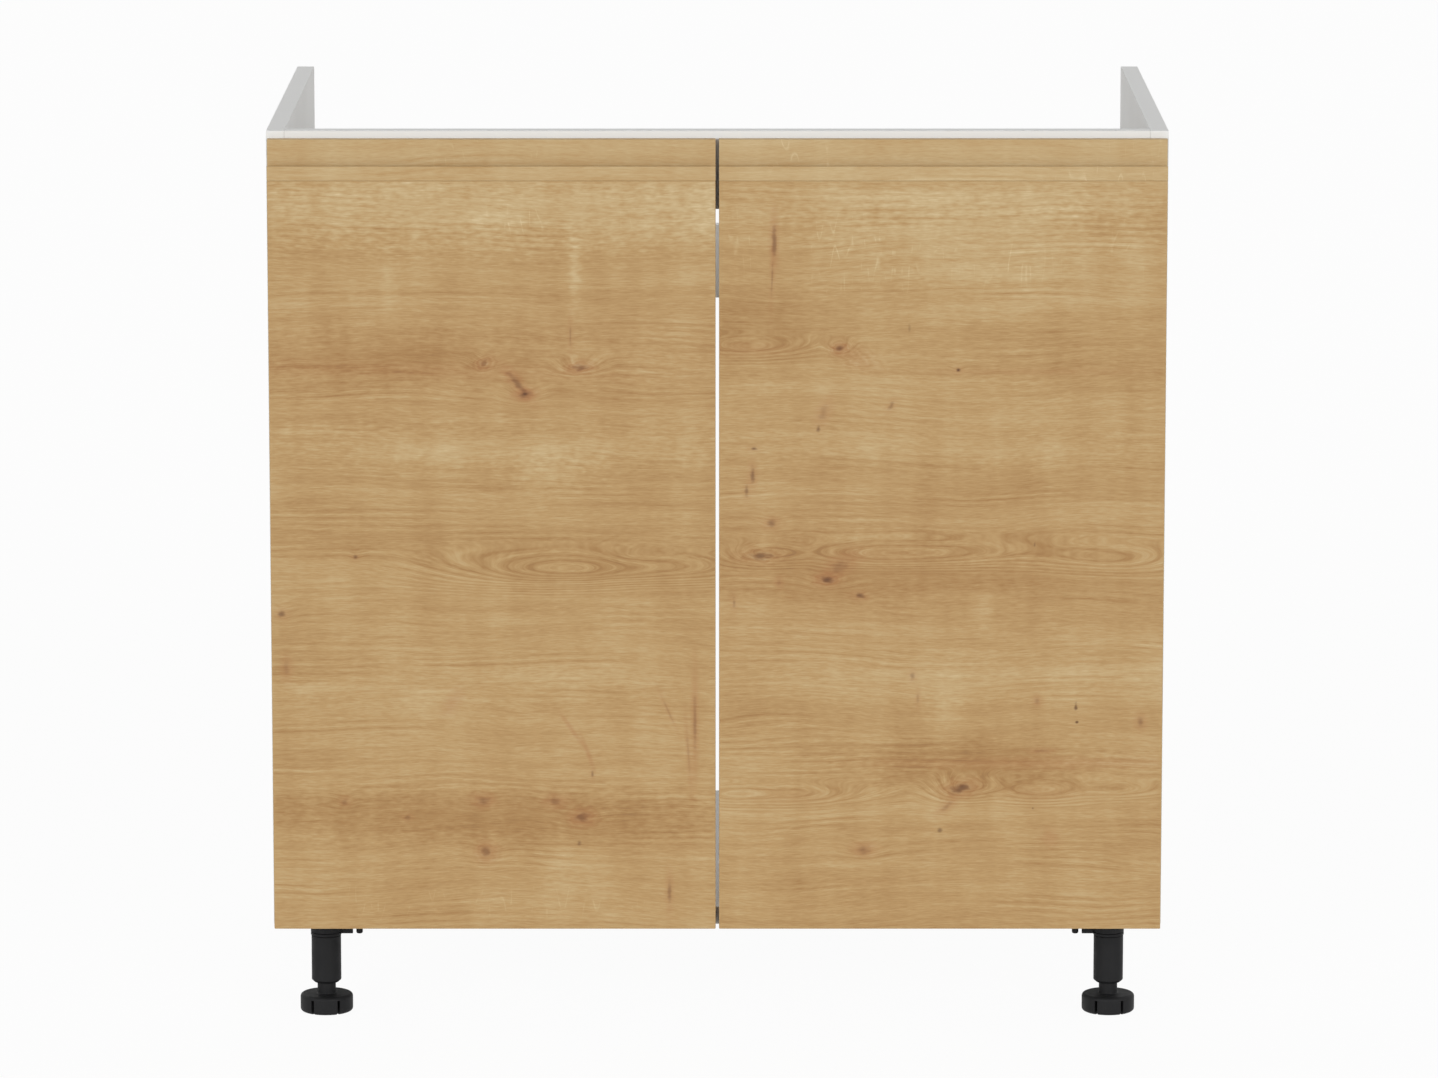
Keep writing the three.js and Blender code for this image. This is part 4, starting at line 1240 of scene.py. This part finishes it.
@dataclass
class CupHinge:
    """Concealed hinge: a drawn cup with two screwed ears, two links, and an arm on its mounting plate."""

    side: Side
    level: Level
    door_back: float = -2.0
    cup_radius: float = 17.5
    cup_inside: float = 16.5
    cup_depth: float = 12.8
    cup_floor: float = 0.9
    lip_radius: float = 18.4
    lip_thickness: float = 0.7
    cup_round: float = 2.0
    ear: tuple[float, float] = (30.0, 23.0)
    ear_radius: float = 6.0
    ear_lap: float = 0.7
    ear_drop: float = 0.05
    seat_in: float = 7.6
    seat_lap: float = 0.3
    seat_beyond: float = 2.7
    seat_above: float = 2.4
    inner_pin_y: float = -4.9
    outer_pin: tuple[float, float] = (16.9, -8.85)
    pin_radius: float = 1.2
    pin_inner_end: float = 6.0
    plate_y: float = 37.0
    plate_screw_z: float = 16.0
    plate_face: float = 17.75
    arm_face: float = 24.25

    @property
    def name(self) -> str:
        """Start of the names of the hinge's nodes."""
        return f"{self.side}_{self.level}_hinge"

    def finish(self, skin: Skin, name: str, body: str, replaces: Sequence[str] = ()) -> None:
        """Makes a nickel-plated piece of a skin drawn about the middle height of the cup.

        Args:
            skin: The surface.
            name: Name of the piece after the hinge's.
            body: Body that it rides on.
            replaces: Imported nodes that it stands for.
        """
        middle = box_mm(self.name + "_cup")[:, 2].mean()
        placed = skin.in_half(self.side, (0, 0, middle))
        Piece(f"{self.name}_{name}", body, [NICKEL], replaces).of_skin(placed)

    def cup(self) -> None:
        """Builds the cup: a turned dish with a lip, two ears, the seats of the pins and a stub pin."""
        skin, screws = Skin(), Skin()
        bottom, top = self.door_back - self.cup_depth, self.door_back + self.lip_thickness
        floor, lip_edge, mouth_edge = bottom + self.cup_floor, 0.3, 0.5
        outer, inner = self.cup_round, self.cup_round - self.cup_radius + self.cup_inside
        skin.turned(np.concatenate([
            arc((self.cup_radius - outer, bottom + outer), outer, 270, 360),
            [(self.cup_radius, self.door_back), (self.lip_radius, self.door_back)],
            arc((self.lip_radius - lip_edge, top - lip_edge), lip_edge, 0, 90, 3),
            arc((self.cup_inside + mouth_edge, top - mouth_edge), mouth_edge, 90, 180, 3),
            arc((self.cup_inside - inner, floor + inner), inner, 0, -90),
        ]), (CUP_INSET, 0.0), Along.Y)
        for up in (1, -1):
            self.draw_ear(skin, up)
            self.draw_seat(skin, up, floor)
            Screw().draw(screws, (self.ear[0], up * self.ear[1]), top - self.ear_drop, 1, Along.Y)
        body = f"{self.side}_door"
        self.finish(skin, "cup_pressing", body, [self.name + "_cup"])
        self.finish(screws, "cup_screws", body)

    def draw_ear(self, skin: Skin, up: int) -> None:
        """Adds an ear of the cup: it follows the lip, then closes round its screw.

        Args:
            skin: Where it is added.
            up: 1 above the cup, -1 below.
        """
        near = self.cup_inside + self.ear_lap
        outline = np.concatenate([
            arc(self.ear, self.ear_radius, 0, 180, 18),
            [(CUP_INSET, near)],
            arc((CUP_INSET, 0), near, 84, 25, 10),
        ])
        low, high = self.door_back + GAP, self.door_back + self.lip_thickness - self.ear_drop
        skin.plate((outline * (1, up))[::up], eased(low, high, 0.2, 2), Along.Y)

    def draw_seat(self, skin: Skin, up: int, floor: float) -> None:
        """Adds the seat of the pins at one side of the cup, and the stub of the outer link's pin.

        Args:
            skin: Where they are added.
            up: 1 above the links, -1 below.
            floor: Height of the cup's floor.
        """
        reach = self.cup_inside + self.seat_lap
        start = CUP_INSET - math.sqrt(reach**2 - self.seat_in**2)
        stop = self.outer_pin[0] + self.seat_beyond
        span = np.linspace(start, stop, 9)
        wall = np.sqrt(reach**2 - (span - CUP_INSET) ** 2)
        outline = np.array([(stop, self.seat_in), *np.column_stack([span, wall])[::-1]])
        levels = eased(floor - 0.2, self.inner_pin_y + self.seat_above, 0.25, 2)
        skin.plate((outline * (1, up))[::up], levels, Along.Y)
        stub = [(self.pin_radius, up * z) for z in (self.pin_inner_end, self.seat_in + 0.8)]
        skin.turned(stub[::up], self.outer_pin, Along.Z, steps=32)

    def mounting(self) -> None:
        """Builds the screws of the mounting plate and the two setting screws of the arm."""
        screws, setting = Skin(), Skin()
        for up in (1, -1):
            centre = self.plate_y, up * self.plate_screw_z
            Screw(radius=3.2).draw(screws, centre, self.plate_face, 1, Along.X)
        for radius, reach, behind in ((3.0, 1.8, 8.5), (2.6, 1.6, -0.5)):
            screw = Screw(radius=radius, height=1.2, recess_reach=reach)
            screw.draw(setting, (self.plate_y + behind, 0.0), self.arm_face, 1, Along.X)
        self.finish(screws, "mounting_plate_screws", "carcass")
        self.finish(setting, "arm_screws", "carcass")

    def build(self) -> None:
        """Builds the hinge's pieces."""
        self.cup()
        parts = (
            ("inner_link", "pressing", f"{self.side}_{self.level}_inner_link", NICKEL, 0.2),
            ("outer_link", "pressing", f"{self.side}_{self.level}_outer_link", NICKEL, 0.2),
            ("arm", "pressing", "carcass", NICKEL, 0.3),
            ("mounting_plate", "casting", "carcass", ZINC, 0.4),
        )
        for part, made, body, finish, radius in parts:
            node = f"{self.name}_{part}"
            Piece(f"{node}_{made}", body, [finish], [node]).of_solid(radius)
        self.mounting()


@dataclass
class Leg:
    """Moulded leg: a socket screwed under the bottom panel, a tube pushed into it and a slotted foot."""

    side: Side
    end: End
    axis_x: float = 42.5
    plate_low: tuple[float, float] = (-22.0, -30.0)
    plate_high: tuple[float, float] = (38.0, 30.0)
    plate_heights: tuple[float, float] = (96.0, 99.98)
    plate_corner: float = 6.0
    screw_inset: float = 7.0
    screw_sunk: float = 0.05
    sleeve_radius: float = 14.0
    sleeve_bottom: float = 71.0
    sleeve_groove: float = 73.9
    bore_radius: float = 11.3
    rib_thickness: float = 3.0
    rib_bottom: float = 72.0
    long_rib: float = 24.5
    short_rib: float = 26.0
    short_rib_bottom: float = 84.0
    boss_radius: float = 3.0
    boss_round: float = 1.6
    boss_x: float = 30.5
    edge: float = 0.5
    tube_radius: float = 13.5
    tube_bottom: float = 27.0
    tube_top: float = 70.7
    tube_chamfer: float = 2.5
    spigot_radius: float = 11.0
    spigot_top: float = 95.7
    foot_radius: float = 24.0
    foot_height: float = 16.5
    foot_round: float = 3.0
    spindle_radius: float = 8.4
    spindle_top: float = 72.0
    hub_radius: float = 9.4
    slots: int = 6
    slot_width: float = 2.75
    slot_depth: float = 9.0
    slot_top: float = 13.3
    thread_pitch: float = 3.0
    thread_depth: float = 0.5

    def finish(self, skin: Skin, name: str, body: str = "carcass", finish: Finish = PLASTIC) -> None:
        """Makes a piece of a skin drawn about the leg's axis. A moulding stands for the node of its name.

        Args:
            skin: The surface.
            name: Name of the piece after the leg's.
            body: Body that it rides on.
            finish: Its finish.
        """
        leg = f"{self.side}_{self.end}_leg"
        y = box_mm(leg + "_tube")[:, 1].mean() - CARCASS_FRONT
        placed = skin.in_half(self.side, (self.axis_x, y, 0))
        if finish is PLASTIC:
            Piece(f"{leg}_{name}_moulding", body, [finish], [f"{leg}_{name}"], sharp=32).of_skin(placed)
        else:
            Piece(f"{leg}_{name}", body, [finish]).of_skin(placed)

    def socket(self) -> None:
        """Builds the plate, sleeve, ribs and boss, with four screws through the plate."""
        skin, axis, edge = Skin(), (0.0, 0.0), self.edge
        outline = rounded_rectangle(self.plate_low, self.plate_high, self.plate_corner, 8)
        low, high = self.plate_heights
        skin.plate(outline, eased(low, high, 0.6), Along.Z)
        r, bottom, groove = self.sleeve_radius, self.sleeve_bottom, self.sleeve_groove
        skin.turned([
            (self.bore_radius, bottom), (r - edge, bottom), (r, bottom + edge),
            (r, groove - 0.5), (r - 0.7, groove), (r, groove + 0.5),
            (r, low - 1.5), (r + 0.5, low - 0.5), (r + 1.5, low + 0.2), (self.bore_radius, low + 0.2),
        ], axis, closed=True)
        half, near, top = self.rib_thickness / 2, self.bore_radius + 0.5, low + 0.5
        rib = rounded_rectangle((near, -half), (self.long_rib, half), edge)
        skin.plate(rib, eased(self.rib_bottom, top, edge))
        for start, stop in ((near, self.short_rib), (-self.short_rib, -near)):
            rib = rounded_rectangle((-half, start), (half, stop), edge)
            skin.plate(rib, eased(self.short_rib_bottom, top, edge))
        boss, r = self.boss_radius, self.boss_round
        skin.turned(
            [*arc((boss - r, self.rib_bottom + r), r, 270, 360), (boss, top)], (self.boss_x, 0.0), steps=40
        )
        self.finish(skin, "socket")
        screws, inwards = Skin(), self.screw_inset
        for x in (self.plate_low[0] + inwards, self.plate_high[0] - inwards):
            for y in (self.plate_low[1] + inwards, self.plate_high[1] - inwards):
                Screw(radius=3.6, height=2.0).draw(screws, (x, y), low + self.screw_sunk, -1, Along.Z)
        self.finish(screws, "socket_screws", finish=NICKEL)

    def tube(self) -> None:
        """Turns the tube, its lower chamfer, the bore for the spindle and the spigot on top."""
        bore, bore_top, c = self.spindle_radius + 0.3, self.spindle_top + 10.6, self.tube_chamfer
        r, bottom, top, spigot = self.tube_radius, self.tube_bottom, self.tube_top, self.spigot_radius
        skin = Skin()
        skin.turned([
            (bore - GAP, bore_top), (bore, bore_top), (bore, bottom + 0.4), (bore + 0.4, bottom),
            (r - c - 0.3, bottom), (r - c, bottom + 0.15), (r - 0.2, bottom + c - 0.3), (r, bottom + c + 0.3),
            (r, top - 0.4), (r - 0.4, top), (spigot, top),
            (spigot, self.spigot_top - 0.6), (spigot - 0.6, self.spigot_top),
        ], (0.0, 0.0))
        self.finish(skin, "tube")

    def foot(self) -> None:
        """Builds the slotted disc, hub and spindle as one grid.

        Each row is a height z with a radius R(z). Within a slot the radius is at most that of the slot's
        floor. The sides of a slot run half its width from its middle line, so at a radius r they are at the
        angle asin(half width / r) from it.
        """
        r, hub = self.foot_round, self.hub_radius - self.spindle_radius
        rim = self.foot_radius - r
        waist = [(self.foot_radius, z) for z in np.linspace(r, self.slot_top, 4)[1:-1]]
        slotted = [(radius, z) for radius, z in [*arc((rim, r), r, 270, 360), *waist] if z < self.slot_top]
        full = [
            (self.foot_radius, self.slot_top),
            *arc((rim, self.foot_height - r), r, 0, 90),
            *arc((self.hub_radius, self.foot_height + hub), hub, 270, 180, 5),
            *self.threaded(),
        ]
        rows = [self.ring(radius, z, self.slot_depth) for radius, z in [*slotted, full[0]]]
        rows += [self.ring(radius, z) for radius, z in full]
        skin = Skin()
        skin.grid(rows)
        for end in (rows[0], rows[-1]):
            skin.patch(end, [range(len(end))])
        self.finish(skin, "foot", f"{self.side}_{self.end}_foot")

    def threaded(self) -> list[tuple[float, float]]:
        """Profile of the spindle above the hub: plain, then shallow turns of thread, as stacked rings.

        Returns:
            Pairs of radius and height.
        """
        crest, root = self.spindle_radius, self.spindle_radius - self.thread_depth
        turns = np.arange(self.foot_height + 14.0, self.spindle_top - self.thread_pitch, self.thread_pitch)
        turn = ((crest, 0), (root, 0.8), (root, 1.5), (crest, 2.3))
        rings = [(radius, z + rise) for z in turns for radius, rise in turn]
        return [*rings, (crest, self.spindle_top - 0.6), (crest - 0.6, self.spindle_top)]

    def ring(self, radius: float, z: float, cut: float = 0.0) -> np.ndarray:
        """One row of the foot: for each slot its floor and side, then the lobe up to the next slot.

        Args:
            radius: Radius of the lobes.
            z: Height.
            cut: Depth of the slots, or 0.0 above them.

        Returns:
            Array of points round the axis.
        """
        inside, sector = min(radius, self.foot_radius - cut), 2 * math.pi / self.slots
        side, end = (math.asin(self.slot_width / 2 / max(r, self.spindle_radius)) for r in (inside, radius))
        lobe = np.linspace(end, sector - end, 11)
        angles = np.arange(self.slots)[:, None] * sector + [0.0, side, *lobe, sector - side]
        radii = np.tile([inside, inside, *np.full(len(lobe), radius), inside], self.slots)
        flat = radii[:, None] * np.column_stack([np.cos(angles.ravel()), np.sin(angles.ravel())])
        return raised(flat, z, Along.Z)

    def build(self) -> None:
        """Builds the leg's pieces."""
        self.socket()
        self.tube()
        self.foot()


# ---------- Studio ----------


@dataclass
class Studio:
    """Plain pale floor, soft light from the front and above, and the camera."""

    camera_place: tuple[float, float, float] = (0.0015, -6.916, 1.625)
    camera_tilt: float = 80.033
    lens: float = 189.6
    sensor: float = 36.0
    key_strength: float = 1.05
    key_elevation: float = 13.0
    key_turn: float = 30.0
    key_width: float = 24.0
    ambient: float = 0.43
    floor_size: float = 60.0
    floor_colour: str = "#f4f4f3"
    floor_share: float = 0.05

    def camera(self) -> None:
        """Sets the camera on the cabinet's middle plane, tilted down."""
        data = bpy.data.cameras.new("camera")
        data.lens = self.lens
        data.sensor_width = self.sensor
        camera = linked("camera", data)
        camera.location = self.camera_place
        camera.rotation_euler = (math.radians(self.camera_tilt), 0, 0)
        bpy.context.scene.camera = camera

    def lights(self) -> None:
        """Adds two soft keys, left and right, and an even world that shows as white."""
        for side in Side:
            data = bpy.data.lights.new(f"{side}_key", "SUN")
            data.energy = self.key_strength
            data.angle = math.radians(self.key_width)
            down, turn = math.radians(90 - self.key_elevation), math.radians(side.value * self.key_turn)
            linked(data.name, data).rotation_euler = (down, 0, turn)
        world = bpy.data.worlds.new("studio")
        bpy.context.scene.world = world
        tree = cleared(world)
        even = add(tree, "Background", {"Color": (1, 1, 1, 1), "Strength": self.ambient})
        white = add(tree, "Background", {"Color": (1, 1, 1, 1), "Strength": 1.0})
        add(tree, "OutputWorld", {"Surface": add(tree, "MixShader", (self.seen(tree), even, white))})

    def seen(self, tree: Tree) -> Node:
        """1 for camera, glossy and transmission rays.

        Args:
            tree: Node tree of the world or floor.

        Returns:
            Node with that value.
        """
        path = add(tree, "LightPath").outputs
        some = add(tree, "Math", (path["Is Camera Ray"], path["Is Glossy Ray"]), "MAXIMUM")
        return add(tree, "Math", (some, path["Is Transmission Ray"]), "MAXIMUM")

    def floor(self) -> None:
        """Lays a wide floor that shows as white, with a faint share of the real shading for its shadow."""
        made = bpy.data.materials.new("studio_floor")
        tree = cleared(made)
        matt = add(tree, "BsdfDiffuse", {"Color": linear(self.floor_colour)})
        white = add(tree, "Emission", {"Strength": 1.0})
        share = add(tree, "Math", (self.seen(tree), 1 - self.floor_share), "MULTIPLY")
        add(tree, "OutputMaterial", {"Surface": add(tree, "MixShader", (share, matt, white))})
        reach = self.floor_size / 2
        mesh = bpy.data.meshes.new("floor")
        corners = [(-reach, -reach, 0), (reach, -reach, 0), (reach, reach, 0), (-reach, reach, 0)]
        mesh.from_pydata(corners, [], [(0, 1, 2, 3)])
        mesh.materials.append(made)
        linked("floor", mesh)

    def build(self) -> None:
        """Sets up the whole studio."""
        bpy.context.scene.view_settings.view_transform = "Standard"
        self.camera()
        self.lights()
        self.floor()


def main() -> None:
    """Builds the studio and every sub-assembly in order."""
    logging.basicConfig(level=logging.INFO, format="%(name)s: %(message)s")
    Studio().build()
    Carcass().build()
    CamFittings().build()
    for side in Side:
        Door(side).build()
        for level in Level:
            CupHinge(side, level).build()
        for end in End:
            Leg(side, end).build()


if __name__ == "__main__":
    main()
